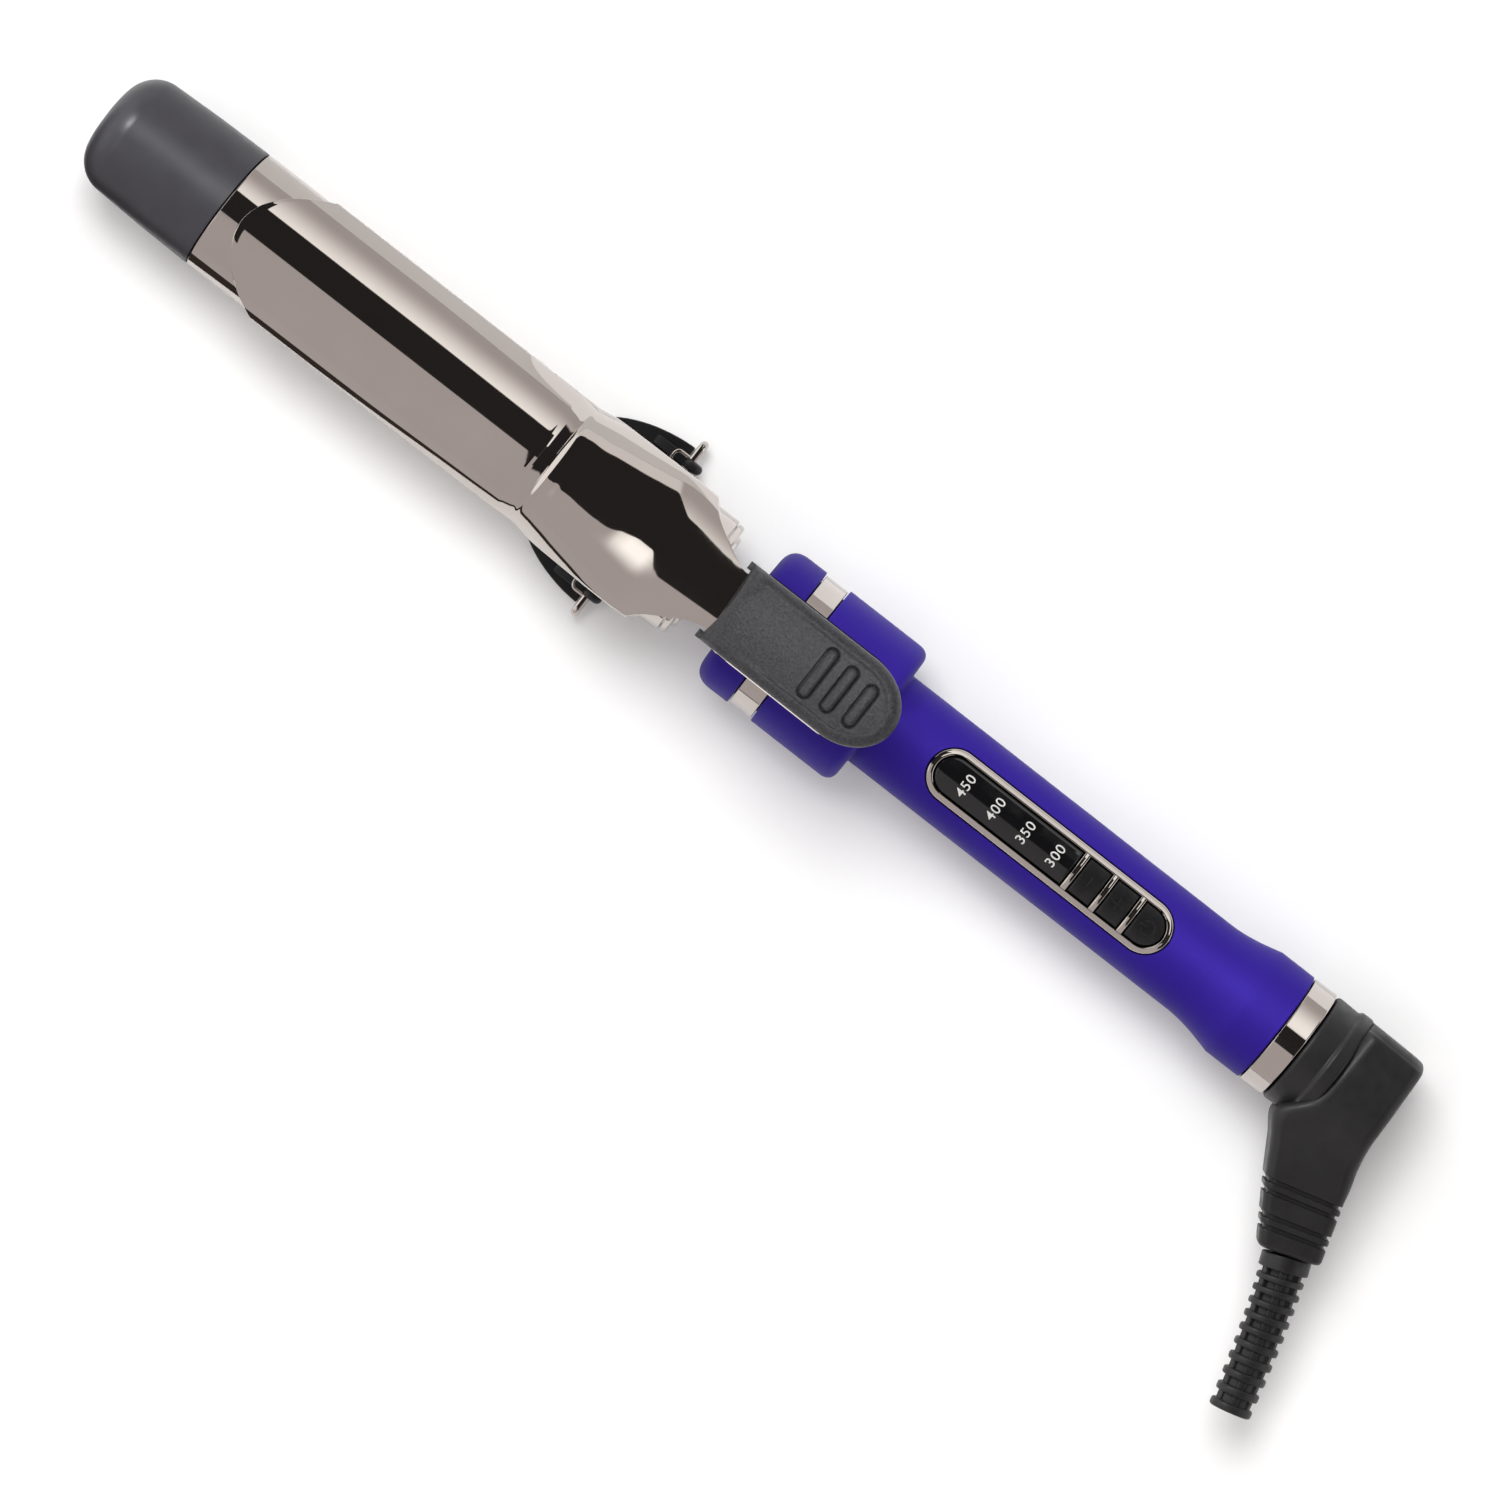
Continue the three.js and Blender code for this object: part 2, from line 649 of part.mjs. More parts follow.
function thumbPad() {
  const columns = 12;
  const rows = PAD_ROWS.map((station) => [station, 0]);
  for (const degrees of [15, 30, 45, 60, 75, 84]) {
    const angle = THREE.MathUtils.degToRad(degrees);
    rows.push([PAD_STRAIGHT_END + PAD_NOSE * Math.sin(angle), angle]);
  }
  const grid = (onTop) => rows.map(([station, angle]) => {
    const points = [];
    for (let j = 0; j <= columns; j += 1) {
      const side = Math.sin(Math.PI / 2 * (2 * j / columns - 1));
      const across = side * PAD_HALF * Math.cos(angle);
      const reach = Math.min(Math.hypot(across / PAD_HALF, Math.sin(angle)), 1);
      const dome = PAD_EDGE + (PAD_THICKNESS - PAD_EDGE) * Math.sqrt(1 - reach ** 6);
      points.push(new THREE.Vector3(x(station), across, padBase(station, across) + (onTop ? dome : 0)));
    }
    return points;
  });
  let pad = plate(grid(true), grid(false));
  for (const [, station] of RIVET_STATIONS) {
    const base = padBase(station, 0);
    pad = pad.subtract(post(station, 0, RIVET_HOLE_R, [base - 3, base + RIVET_HOLE_DEPTH], PIN_ROUND));
  }
  return pad;
}

function clampLug(side) {
  const far = LUG[1];
  const across = mirrored(LUG, side);
  const underside = (station) => {
    const [, crown, sideR, crownR] = clampForm(station);
    return AXIS_Z + crown - crownR * (1 - Math.sqrt(1 - (far / sideR) ** 2)) - SHEET - GAP - 0.3;
  };
  const web = sidePlate([
    [HINGE_STATION - LUG_HALF, underside(HINGE_STATION - LUG_HALF)],
    [HINGE_STATION - HINGE_EYE_R, HINGE_Z - LUG_DROP],
    [HINGE_STATION + HINGE_EYE_R, HINGE_Z - LUG_DROP],
    [HINGE_STATION + LUG_HALF, underside(HINGE_STATION + LUG_HALF)],
    [HINGE_STATION, underside(HINGE_STATION)],
  ], across);
  return web
    .add(crossBar(HINGE_STATION, HINGE_Z, HINGE_EYE_R, across))
    .subtract(crossBar(HINGE_STATION, HINGE_Z, HINGE_HOLE_R, [across[0] - CLEAR, across[1] + CLEAR]));
}

function clamp() {
  piece('clamp_plate', clampPlate(), PLATED);
  piece('thumb_pad', thumbPad(), CHARCOAL);
  piece('clamp_lug_left', clampLug(1), STEEL);
  piece('clamp_lug_right', clampLug(-1), STEEL);
  for (const [name, station] of RIVET_STATIONS) {
    const top = padBase(station, 0);
    const head = top - GAP - SHEET - GAP - 0.2;
    const shank = post(station, 0, RIVET_R, [head - RIVET_HEAD_HEIGHT / 2, top + RIVET_REACH], PIN_ROUND);
    const flange = post(station, 0, RIVET_HEAD_R, [head - RIVET_HEAD_HEIGHT, head]);
    piece(`pad_rivet_${name}`, shank.add(flange), STEEL);
  }
}

function hingeBracket() {
  const from = HINGE_STATION - BRACKET_HALF;
  const to = HINGE_STATION + BRACKET_HALF;
  const top = [AXIS_Z + 8, AXIS_Z + OUTSIDE];
  const saddle = block([from - CLEAR, to + CLEAR], [-SADDLE_HALF, SADDLE_HALF], top);
  let bracket = ring(from, to, STRAP_INNER_R + STRAP_THICKNESS, STRAP_INNER_R).intersect(saddle);
  for (const side of [-1, 1]) {
    const across = mirrored(BRACKET_EAR, side);
    const ear = sidePlate([
      [HINGE_STATION - BRACKET_EAR_HALF, AXIS_Z + STRAP_INNER_R - 1.5],
      [HINGE_STATION + BRACKET_EAR_HALF, AXIS_Z + STRAP_INNER_R - 1.5],
      [HINGE_STATION + HINGE_EYE_R, HINGE_Z],
      [HINGE_STATION - HINGE_EYE_R, HINGE_Z],
    ], across);
    bracket = bracket.add(ear).add(crossBar(HINGE_STATION, HINGE_Z, HINGE_EYE_R, across));
  }
  const barrelSpace = rod(from - 2 * CLEAR, to + 2 * CLEAR, STRAP_INNER_R);
  const reach = BRACKET_EAR[1] + 2 * CLEAR;
  const pinHole = crossBar(HINGE_STATION, HINGE_Z, HINGE_HOLE_R, [-reach, reach]);
  return bracket.subtract(barrelSpace).subtract(pinHole);
}

/** Pin with a head at each end, wider than the holes that it passes through. */
function hingePin() {
  const reach = LUG[1] + GAP;
  const head = [reach - 0.05, reach + PIN_HEAD];
  return crossBar(HINGE_STATION, HINGE_Z, HINGE_PIN_R, [-reach, reach])
    .add(crossBar(HINGE_STATION, HINGE_Z, PIN_HEAD_R, head))
    .add(crossBar(HINGE_STATION, HINGE_Z, PIN_HEAD_R, mirrored(head, -1)));
}

/** Coil round the pin, one leg resting on the bracket and one pushing the lever up. */
class SpringPath extends THREE.Curve {
  getPoint(t, target = new THREE.Vector3()) {
    const leg = SPRING_LEG_SHARE;
    const coil = THREE.MathUtils.clamp((t - leg) / (1 - 2 * leg), 0, 1);
    const angle = 2 * Math.PI * SPRING_TURNS * coil;
    const across = SPRING_PITCH * SPRING_TURNS * (coil - 0.5);
    const station = HINGE_STATION + SPRING_COIL_R * Math.sin(angle);
    target.set(x(station), across, HINGE_Z - SPRING_COIL_R * Math.cos(angle));
    if (t < leg) target.x -= SPRING_FRONT_LEG * (leg - t) / leg;
    if (t > 1 - leg) {
      const along = (t - 1 + leg) / leg;
      target.x += SPRING_REAR_LEG[0] * along;
      target.z += SPRING_REAR_LEG[1] * along;
    }
    return target;
  }
}

function clampHinge() {
  piece('hinge_bracket', hingeBracket(), STEEL);
  piece('hinge_pin', hingePin(), STEEL);
  piece('torsion_spring', wireAlong(new SpringPath(), SPRING_WIRE_R, 14 * SPRING_TURNS + 8, 6), STEEL);
}

// ---------------------------------------------------------------- rest stand

/** Horseshoe plate: a rounded front bar and two arms that reach back to the pivots. */
function standPlate() {
  const outer = new THREE.Shape();
  const centre = STAND_START + STAND_LENGTH;
  const rearAngle = Math.asin((centre - STAND_END) / STAND_LENGTH);
  const [from, to] = [Math.PI / 2 + rearAngle, 1.5 * Math.PI - rearAngle];
  outer.absellipse(x(centre), 0, STAND_LENGTH, STAND_HALF, from, to, false, 0);
  const bend = STAND_START + STAND_BAR + STAND_WINDOW_HALF;
  const through = [-CLEAR, STAND_THICKNESS + CLEAR];
  const opening = post(bend, 0, STAND_WINDOW_HALF, through, ROUND)
    .add(block([bend, STAND_END + CLEAR], [-STAND_WINDOW_HALF, STAND_WINDOW_HALF], through));
  let stand = slab(outer, [0, STAND_THICKNESS], 16).subtract(opening);
  for (const side of [-1, 1]) {
    const across = mirrored(STAND_EAR, side);
    const ear = sidePlate([
      [STAND_EAR_START, STAND_THICKNESS - 0.3],
      [STAND_END - 0.3, STAND_THICKNESS - 0.3],
      [STAND_PIVOT_STATION, STAND_PIVOT_Z - STAND_BOSS_R + 0.3],
      [STAND_PIVOT_STATION, STAND_PIVOT_Z + STAND_BOSS_R - 0.3],
      [STAND_EAR_RISE[0], STAND_PIVOT_Z + 1.2],
      STAND_EAR_RISE,
      STAND_EAR_STEP,
    ], across);
    const pivotHole = [across[0] - CLEAR, across[1] + CLEAR];
    stand = stand
      .add(ear)
      .add(crossBar(STAND_PIVOT_STATION, STAND_PIVOT_Z, STAND_BOSS_R, across))
      .subtract(crossBar(STAND_PIVOT_STATION, STAND_PIVOT_Z, STAND_HOLE_R, pivotHole, PIN_ROUND));
  }
  return stand;
}

/** Strap round the underside of the barrel with an ear for each pivot. */
function standBracket() {
  const from = STAND_PIVOT_STATION - STAND_STRAP_HALF;
  const to = STAND_PIVOT_STATION + STAND_STRAP_HALF;
  const top = AXIS_Z - STAND_STRAP_TOP;
  const under = block([from - CLEAR, to + CLEAR], [-STAND_STRAP_WIDTH, STAND_STRAP_WIDTH], [0, top]);
  let bracket = ring(from, to, STRAP_INNER_R + STRAP_THICKNESS, STRAP_INNER_R).intersect(under);
  for (const side of [-1, 1]) {
    const across = mirrored(STAND_BRACKET_EAR, side);
    const ear = block([from, to], across, [STAND_PIVOT_Z, top])
      .add(crossBar(STAND_PIVOT_STATION, STAND_PIVOT_Z, STAND_STRAP_EYE_R, across));
    const through = [across[0] - CLEAR, across[1] + CLEAR];
    bracket = bracket
      .add(ear.subtract(crossBar(STAND_PIVOT_STATION, STAND_PIVOT_Z, STAND_HOLE_R, through, PIN_ROUND)));
  }
  return bracket;
}

function stand() {
  piece('stand_plate', standPlate(), BLACK);
  piece('stand_bracket', standBracket(), PLATED);
  for (const [name, side] of [['left', 1], ['right', -1]]) {
    const reach = mirrored([STAND_BRACKET_EAR[0] - GAP, STAND_EAR[1]], side);
    const pin = crossBar(STAND_PIVOT_STATION, STAND_PIVOT_Z, STAND_PIN_R, reach, PIN_ROUND);
    piece(`stand_pin_${name}`, pin, STEEL);
    const route = STAND_WIRE.map(([station, across, rise]) => [station, across * side, STAND_PIVOT_Z + rise]);
    piece(`stand_wire_${name}`, wire(route, STAND_WIRE_R, 18), PLATED);
  }
}

// ---------------------------------------------------------------- collar and handle

function collar() {
  const size = COLLAR_FRONT_CORNER;
  const front = turned([
    [COLLAR_START, NECK_R + GAP],
    ...corner(COLLAR_START + size, COLLAR_R - size, size, 180, 90, 6),
    [BAND_START - GAP, COLLAR_R],
    [BAND_START - GAP, SLEEVE_R],
    [SLEEVE_END, SLEEVE_R],
    [SLEEVE_END, SLEEVE_BORE_R],
    [COLLAR_FACE_END, SLEEVE_BORE_R],
    [COLLAR_FACE_END, NECK_R + GAP],
  ]);
  piece('collar_front', front, VIOLET);
  piece('collar_band', ring(BAND_START, BAND_END, BAND_R, SLEEVE_R + GAP), PLATED);
}

/** The whole handle tube, before it is split into an upper and a lower shell. */
function handleTube() {
  const rear = COLLAR_END - COLLAR_REAR_CORNER;
  const flare = [];
  const steps = 6;
  for (let i = 0; i <= steps; i += 1) {
    const share = i / steps;
    const rise = (1 - Math.cos(Math.PI / 2 * share)) * (FLARE_R - GRIP_R);
    flare.push([FLARE_START + (FLARE_END - FLARE_START) * share, GRIP_R + rise]);
  }
  return turned([
    [BAND_END + GAP, COLLAR_BORE_R],
    [BAND_END + GAP, COLLAR_R],
    ...corner(rear, COLLAR_R - COLLAR_REAR_CORNER, COLLAR_REAR_CORNER, 90, 5, 4),
    [COLLAR_END, GRIP_R + 0.6],
    [COLLAR_END + 0.6, GRIP_R],
    ...flare,
    [HANDLE_END, FLARE_R],
    [HANDLE_END, FLARE_BORE_R],
    [FLARE_END, FLARE_BORE_R],
    [FLARE_START, GRIP_BORE_R],
    [COLLAR_BORE_END, GRIP_BORE_R],
    [COLLAR_BORE_END, COLLAR_BORE_R],
  ]);
}

/** Boss in the upper shell that a screw bites into. */
function screwBoss(station, shell) {
  return shell
    .add(post(station, 0, BOSS_R, [AXIS_Z - BOSS_BOTTOM, AXIS_Z + GRIP_BORE_R + 0.5]))
    .subtract(post(station, 0, BOSS_HOLE_R, [AXIS_Z - BOSS_BOTTOM - 0.5, AXIS_Z + BOSS_HOLE_TOP]));
}

/** Well in the lower shell that a screw's head sinks into. */
function screwWell(station, shell) {
  const well = post(station, 0, WELL_R, [AXIS_Z - GRIP_BORE_R - 1, AXIS_Z - WELL_TOP])
    .subtract(post(station, 0, SCREW_HOLE_R, [0, AXIS_Z]));
  return shell
    .add(well)
    .subtract(post(station, 0, SCREW_HOLE_R, [0, AXIS_Z - 2]))
    .subtract(post(station, 0, COUNTERBORE_R, [0, AXIS_Z - GRIP_BORE_R - 0.1]));
}

function screw(station) {
  const head = AXIS_Z - GRIP_BORE_R - 0.4;
  return post(station, 0, SCREW_R, [head - 0.5, AXIS_Z + SCREW_TOP], PIN_ROUND)
    .add(post(station, 0, SCREW_HEAD_R, [head - SCREW_HEAD_HEIGHT, head]));
}

function handle() {
  const tube = handleTube();
  const whole = [BAND_END, RING_END];
  const wide = [-OUTSIDE, OUTSIDE];
  let upper = tube.intersect(block(whole, wide, [AXIS_Z + GAP / 2, AXIS_Z + OUTSIDE]));
  let lower = tube.intersect(block(whole, wide, [AXIS_Z - OUTSIDE, AXIS_Z - GAP / 2]));
  for (const [name, station] of SCREW_STATIONS) {
    upper = screwBoss(station, upper);
    lower = screwWell(station, lower);
    piece(`handle_screw_${name}`, screw(station), STEEL);
  }
  const panelHole = panelOutline(PANEL_START - GAP, PANEL_END + GAP, PANEL_HALF + GAP, true, true);
  upper = upper.subtract(slab(panelHole, [AXIS_Z + 6, AXIS_Z + OUTSIDE]));
  piece('handle_upper', upper, VIOLET);
  piece('handle_lower', lower, VIOLET);
  piece('rear_ring', ring(HANDLE_END + GAP, RING_END, FLARE_R, RING_BORE_R + GAP), PLATED);
  piece('swivel_bushing', ring(BUSHING_START, RING_END, RING_BORE_R - GAP, SWIVEL_SPIGOT_R + GAP, 32), BLACK);
}

// ---------------------------------------------------------------- control panel

/** A plan shape as a tall block over the axis, for cutting. */
function above(shape) {
  return slab(shape, [AXIS_Z + 5, AXIS_Z + OUTSIDE], 10);
}

/** A plan shape, cut to a curved plate between two radii about the tool's axis. */
function curved(shape, innerR, outerR) {
  return above(shape).intersect(ring(PANEL_START - 2, PANEL_END + 2, outerR, innerR, 60));
}

/** A key with the stem that pushes its switch, and the switch below it. */
function key(name, start, end, half, last) {
  const centre = (start + end) / 2;
  const floor = AXIS_Z + BOARD_TOP + GAP;
  const switchTop = floor + SWITCH_HEIGHT;
  const cap = curved(panelOutline(start + GAP, end - GAP, half - GAP, false, last), KEY_SKIRT_R, KEY_TOP_R);
  const stemHeights = [switchTop + KEY_TRAVEL_GAP, AXIS_Z + KEY_SKIRT_R + 0.4];
  piece(`key_${name}`, cap.add(post(centre, 0, KEY_STEM_R, stemHeights, PIN_ROUND)), BLACK);
  const reach = SWITCH_SIZE / 2;
  const body = block([centre - reach, centre + reach], [-reach, reach], [floor, floor + SWITCH_BODY]);
  const plunger = post(centre, 0, PLUNGER_R, [floor + SWITCH_BODY - 0.5, switchTop], PIN_ROUND);
  piece(`key_switch_${name}`, body.add(plunger), STEEL);
}

function panel() {
  const half = PANEL_HALF - PANEL_RIM;
  const windowStart = PANEL_START + PANEL_RIM;
  const outline = panelOutline(PANEL_START, PANEL_END, PANEL_HALF, true, true);
  const frame = curved(outline, KEY_SKIRT_R, PANEL_TOP_R);
  let bezel = frame.subtract(above(panelOutline(windowStart, WINDOW_END, half, true, false)));
  const glass = panelOutline(windowStart + GAP, WINDOW_END - GAP, half - GAP, true, false);
  piece('display_window', curved(glass, KEY_SKIRT_R + 0.4, KEY_TOP_R - 0.2), GLOSS_BLACK);
  for (const [name, start, end] of KEYS) {
    const last = name === 'power';
    bezel = bezel.subtract(above(panelOutline(start, end, half, false, last)));
    key(name, start, end, half, last);
  }
  piece('panel_bezel', bezel, PLATED);
  const boardHeights = [AXIS_Z + BOARD_TOP - BOARD_THICKNESS, AXIS_Z + BOARD_TOP];
  piece('circuit_board', block(BOARD_ENDS, [-BOARD_HALF, BOARD_HALF], boardHeights), BOARD);
  const [along, across] = LAMP_HALF;
  for (const [i, station] of LEVEL_STATIONS.entries()) {
    const heights = [AXIS_Z + BOARD_TOP + GAP, AXIS_Z + BOARD_TOP + GAP + LAMP_HEIGHT];
    const lamp = block([station - along, station + along], [-across, across], heights);
    piece(`level_light_${i + 1}`, lamp, LAMP);
  }
}

// ---------------------------------------------------------------- swivel elbow and strain relief

/** Bevelled four-sided ring standing on a line in plan, between two points of [station, across]. */
function elbowRing(left, right, halfHeight, bevel, inset = 0) {
  const a = new THREE.Vector2(x(left[0]), left[1]);
  const b = new THREE.Vector2(x(right[0]), right[1]);
  const width = a.distanceTo(b);
  const height = halfHeight - inset;
  const low = inset;
  const high = width - inset;
  const corners = [
    [low, height - bevel], [low + bevel, height], [high - bevel, height], [high, height - bevel],
    [high, bevel - height], [high - bevel, -height], [low + bevel, -height], [low, bevel - height],
  ];
  return corners.map(([along, z]) => {
    const point = a.clone().lerp(b, along / width);
    return new THREE.Vector3(point.x, point.y, AXIS_Z + z);
  });
}

/** Elbow body: fills the corner behind the collar, then narrows to a grooved outlet. */
function elbowBody() {
  const rings = ELBOW_SECTIONS.map((section) => elbowRing(...section));
  const between = (from, to, t) => from.map((value, i) => value + (to[i] - value) * t);
  const add = (t, inset) => {
    const left = between(OUTLET_FROM[0], OUTLET_TO[0], t);
    const right = between(OUTLET_FROM[1], OUTLET_TO[1], t);
    const height = OUTLET_FROM[2] + (OUTLET_TO[2] - OUTLET_FROM[2]) * t;
    rings.push(elbowRing(left, right, height, OUTLET_BEVEL, inset));
  };
  add(0, 0);
  for (const [from, to] of OUTLET_GROOVES) {
    if (from > 0) add(from, 0);
    add(from, OUTLET_GROOVE_DEPTH);
    add(to, OUTLET_GROOVE_DEPTH);
    add(to, 0);
  }
  add(0.97, 0);
  add(1, 0.5);
  return loft(rings);
}

function swivelElbow() {
  const spindle = turned([
    [SPINDLE_START, SPINDLE_BORE_R],
    [SPINDLE_START, SPINDLE_R],
    [SPIGOT_START, SPINDLE_R],
    [SPIGOT_START, SWIVEL_SPIGOT_R],
    [SWIVEL_START, SWIVEL_SPIGOT_R],
    [SWIVEL_START, SWIVEL_R - 0.4],
    [SWIVEL_START + 0.6, SWIVEL_R],
    [BEAD_START, SWIVEL_R],
    ...corner((BEAD_START + BEAD_END) / 2, BEAD_R - BEAD_CORNER, BEAD_CORNER, 150, 30, 3),
    [BEAD_END, SWIVEL_R - 1],
    [BEAD_END + HUB_REACH, SWIVEL_R - 3],
    [BEAD_END + HUB_REACH, SPINDLE_BORE_R],
  ], 32);
  const shaftBore = rod(SPINDLE_START - CLEAR, SHAFT_BORE_END, SPINDLE_BORE_R, SMALL_ROUND);
  return spindle.add(elbowBody()).subtract(shaftBore).subtract(outletBore());
}

/** Straight bore from the swivel's axis to the middle of the outlet's end face. */
function outletBore() {
  const [start, end] = CORD_BORE.map(([station, across]) => new THREE.Vector3(x(station), across, AXIS_Z));
  const section = new THREE.Shape();
  section.absarc(0, 0, CORD_BORE_R, 0, 2 * Math.PI, false);
  return solid(new THREE.ExtrudeGeometry(section, {
    extrudePath: new THREE.LineCurve3(start, end),
    steps: 1,
    curveSegments: 8,
    bevelEnabled: false,
  }));
}

/** Ribbed sleeve on a gentle bend, open all the way through for the cord. */
function strainRelief() {
  const points = RELIEF_PATH.map(([station, across]) => new THREE.Vector3(x(station), across, AXIS_Z));
  const path = new THREE.QuadraticBezierCurve3(...points);
  const sides = SMALL_ROUND;
  const ringAt = (share, radius) => {
    const centre = path.getPointAt(share);
    const tangent = path.getTangentAt(share);
    const across = new THREE.Vector3(-tangent.y, tangent.x, 0);
    const circle = [];
    for (let i = 0; i < sides; i += 1) {
      const angle = 2 * Math.PI * i / sides;
      circle.push(centre.clone()
        .addScaledVector(across, radius * Math.cos(angle))
        .add(new THREE.Vector3(0, 0, radius * Math.sin(angle))));
    }
    return circle;
  };
  const ribR = (share) => THREE.MathUtils.lerp(...RELIEF_RIB_R, share);
  const pitch = (1 - RELIEF_NECK) / RELIEF_RIBS;
  const rings = [
    ringAt(0, RELIEF_NECK_R[0]),
    ringAt(RELIEF_NECK, RELIEF_NECK_R[1]),
    ringAt(RELIEF_NECK, RELIEF_CORE_R),
  ];
  for (let i = 1; i <= RELIEF_RIBS; i += 1) {
    const from = RELIEF_NECK + pitch * (i - 0.5);
    const to = RELIEF_NECK + pitch * i;
    rings.push(ringAt(from, RELIEF_CORE_R), ringAt(from, ribR(from)), ringAt(to, ribR(to)));
    if (i < RELIEF_RIBS) rings.push(ringAt(to, RELIEF_CORE_R));
  }
  for (const share of [1, 0.75, 0.5, 0.25, 0]) rings.push(ringAt(share, CORD_BORE_R));
  return loft(rings, true);
}

function swivel() {
  piece('swivel_elbow', swivelElbow(), BLACK);
  piece('strain_relief', strainRelief(), BLACK);
  for (const [i, [name, station]] of SLIP_RINGS.entries()) {
    const end = station + SLIP_RING_WIDTH;
    const color = i ? BLUE : RED;
    piece(`slip_ring_${name}`, ring(station, end, SLIP_RING_R, SPINDLE_R + GAP, 24), BRASS);
    const base = AXIS_Z - SLIP_RING_R - GAP;
    const side = i ? -1 : 1;
    const brush = block([station, end], [-BRUSH_HALF, BRUSH_HALF], [base - BRUSH_THICKNESS, base]);
    piece(`brush_${name}`, brush, BRASS);
    const route = [
      [station + 1.5, 3.6 * side, base - 0.3],
      [station - 2, 4.6 * side, base + 0.6],
      [321.5, 5 * side, AXIS_Z - 4],
      [314, 5.2 * side, AXIS_Z],
      [312.6, 5.2 * side, AXIS_Z + 1.6],
    ];
    piece(`power_lead_${name}`, wire(route, LEAD_R, 12, 6), color);
  }
}

barrel();
heater();
clamp();
clampHinge();
stand();
collar();
handle();
panel();
swivel();

export default model;
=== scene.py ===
# Curling iron: looks, light and camera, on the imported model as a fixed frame.
# Shapes are worked out in millimetres, with places along the tool as stations from its tip,
# and are scaled to metres when a mesh is made.
import json
import math

import bmesh
import bpy
from mathutils import Matrix, Vector


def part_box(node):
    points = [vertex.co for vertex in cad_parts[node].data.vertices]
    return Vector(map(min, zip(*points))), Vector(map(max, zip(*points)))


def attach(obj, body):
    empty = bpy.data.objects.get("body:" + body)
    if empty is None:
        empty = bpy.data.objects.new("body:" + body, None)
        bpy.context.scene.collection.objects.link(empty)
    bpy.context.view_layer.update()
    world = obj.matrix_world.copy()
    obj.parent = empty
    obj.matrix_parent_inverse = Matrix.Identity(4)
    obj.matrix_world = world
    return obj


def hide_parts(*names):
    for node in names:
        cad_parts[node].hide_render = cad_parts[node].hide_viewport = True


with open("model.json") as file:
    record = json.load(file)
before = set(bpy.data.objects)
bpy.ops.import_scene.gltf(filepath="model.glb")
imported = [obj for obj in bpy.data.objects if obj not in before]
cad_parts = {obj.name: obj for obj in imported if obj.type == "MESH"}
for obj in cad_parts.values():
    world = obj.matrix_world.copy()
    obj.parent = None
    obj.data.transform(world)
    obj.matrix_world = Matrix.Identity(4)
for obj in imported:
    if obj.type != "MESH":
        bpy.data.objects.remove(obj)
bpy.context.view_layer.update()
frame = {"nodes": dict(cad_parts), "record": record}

MM = 0.001
UP = Vector((0, 0, 1))


# ---------------------------------------------------------------- measures taken from the frame

def box_mm(node):
    """Lowest and highest corner of a CAD node, in millimetres."""
    low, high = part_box(node)
    return [value / MM for value in low], [value / MM for value in high]


TIP_X = box_mm("tip_cap")[0][0]
AXIS_Z = sum(corner[2] for corner in box_mm("barrel_tube")) / 2


def x(station):
    return TIP_X + station


def span(node):
    """Start station, end station and radius of a node that is round about the tool's axis."""
    low, high = box_mm(node)
    return low[0] - TIP_X, high[0] - TIP_X, (high[1] - low[1]) / 2


BARREL_START, BARREL_END, BARREL_R = span("barrel_tube")
_, END_CAP_END, END_CAP_R = span("barrel_end_cap")
NECK_START, NECK_END, NECK_R = span("neck_tube")
COLLAR_START, SLEEVE_END, COLLAR_R = span("collar_front")
BAND_START, BAND_END, BAND_R = span("collar_band")
HANDLE_START, HANDLE_END, _ = span("handle_upper")
RING_START, RING_END, RING_R = span("rear_ring")
PANEL_START, PANEL_END, PANEL_HALF = span("panel_bezel")
PANEL_TOP_R = box_mm("panel_bezel")[1][2] - AXIS_Z
PANEL_BASE_R = PANEL_TOP_R - 1.9
KEY_TOP_R = box_mm("key_minus")[1][2] - AXIS_Z
WINDOW_TOP_R = box_mm("display_window")[1][2] - AXIS_Z
PAD_START, PAD_END, PAD_HALF = span("thumb_pad")
LEVEL_STATIONS = [sum(span(f"level_light_{i}")[:2]) / 2 for i in range(1, 5)]
STAND_START, _, STAND_HALF = span("stand_plate")
STAND_THICKNESS = 1.8
STAND_PIVOT = sum(span("stand_pin_left")[:2]) / 2
STAND_PIVOT_Z = sum(corner[2] for corner in box_mm("stand_pin_left")) / 2
GAP = 0.3

# Sizes that the frame's boxes don't give, in millimetres
TUBE_WALL = 1.1
SPIGOT_R = 14.3                    # of the tip cap and the end cap, inside the barrel
SPIGOT_LENGTH = 7
CAP_NOSE_R = 6.6                   # flat nose of the tip cap
CAP_CORNER = 8.4
CAP_FRONT_R = 15.2
CAP_BORE_R = 11.5
CAP_WALL = 5
END_CAP_INNER = 166                # how far the end cap reaches into the barrel
SLEEVE_STEP = 2.1                  # from the band's face down to the sleeve under it
SLEEVE_WALL = 1.6
COLLAR_FACE_END = 192              # back of the collar's front wall
COLLAR_BORE_R = 17
COLLAR_BORE_END = 223.5
GRIP_BORE_R = 10.3
FLARE_BORE_R = 12.6
RING_BORE_R = 12.9
COUNTERBORE_R = 2.9                # for the heads of the handle's screws
COUNTERBORE_TOP = 8.9


# ---------------------------------------------------------------- camera

CAMERA_PLACE = Vector((0.085, 0.033, 1.79))
CAMERA_TARGET = Vector((0.0779, -0.0245, 0.019))
PICTURE_UP = Vector((-0.615, 0.7885, 0.0))
LENS_MM = 183


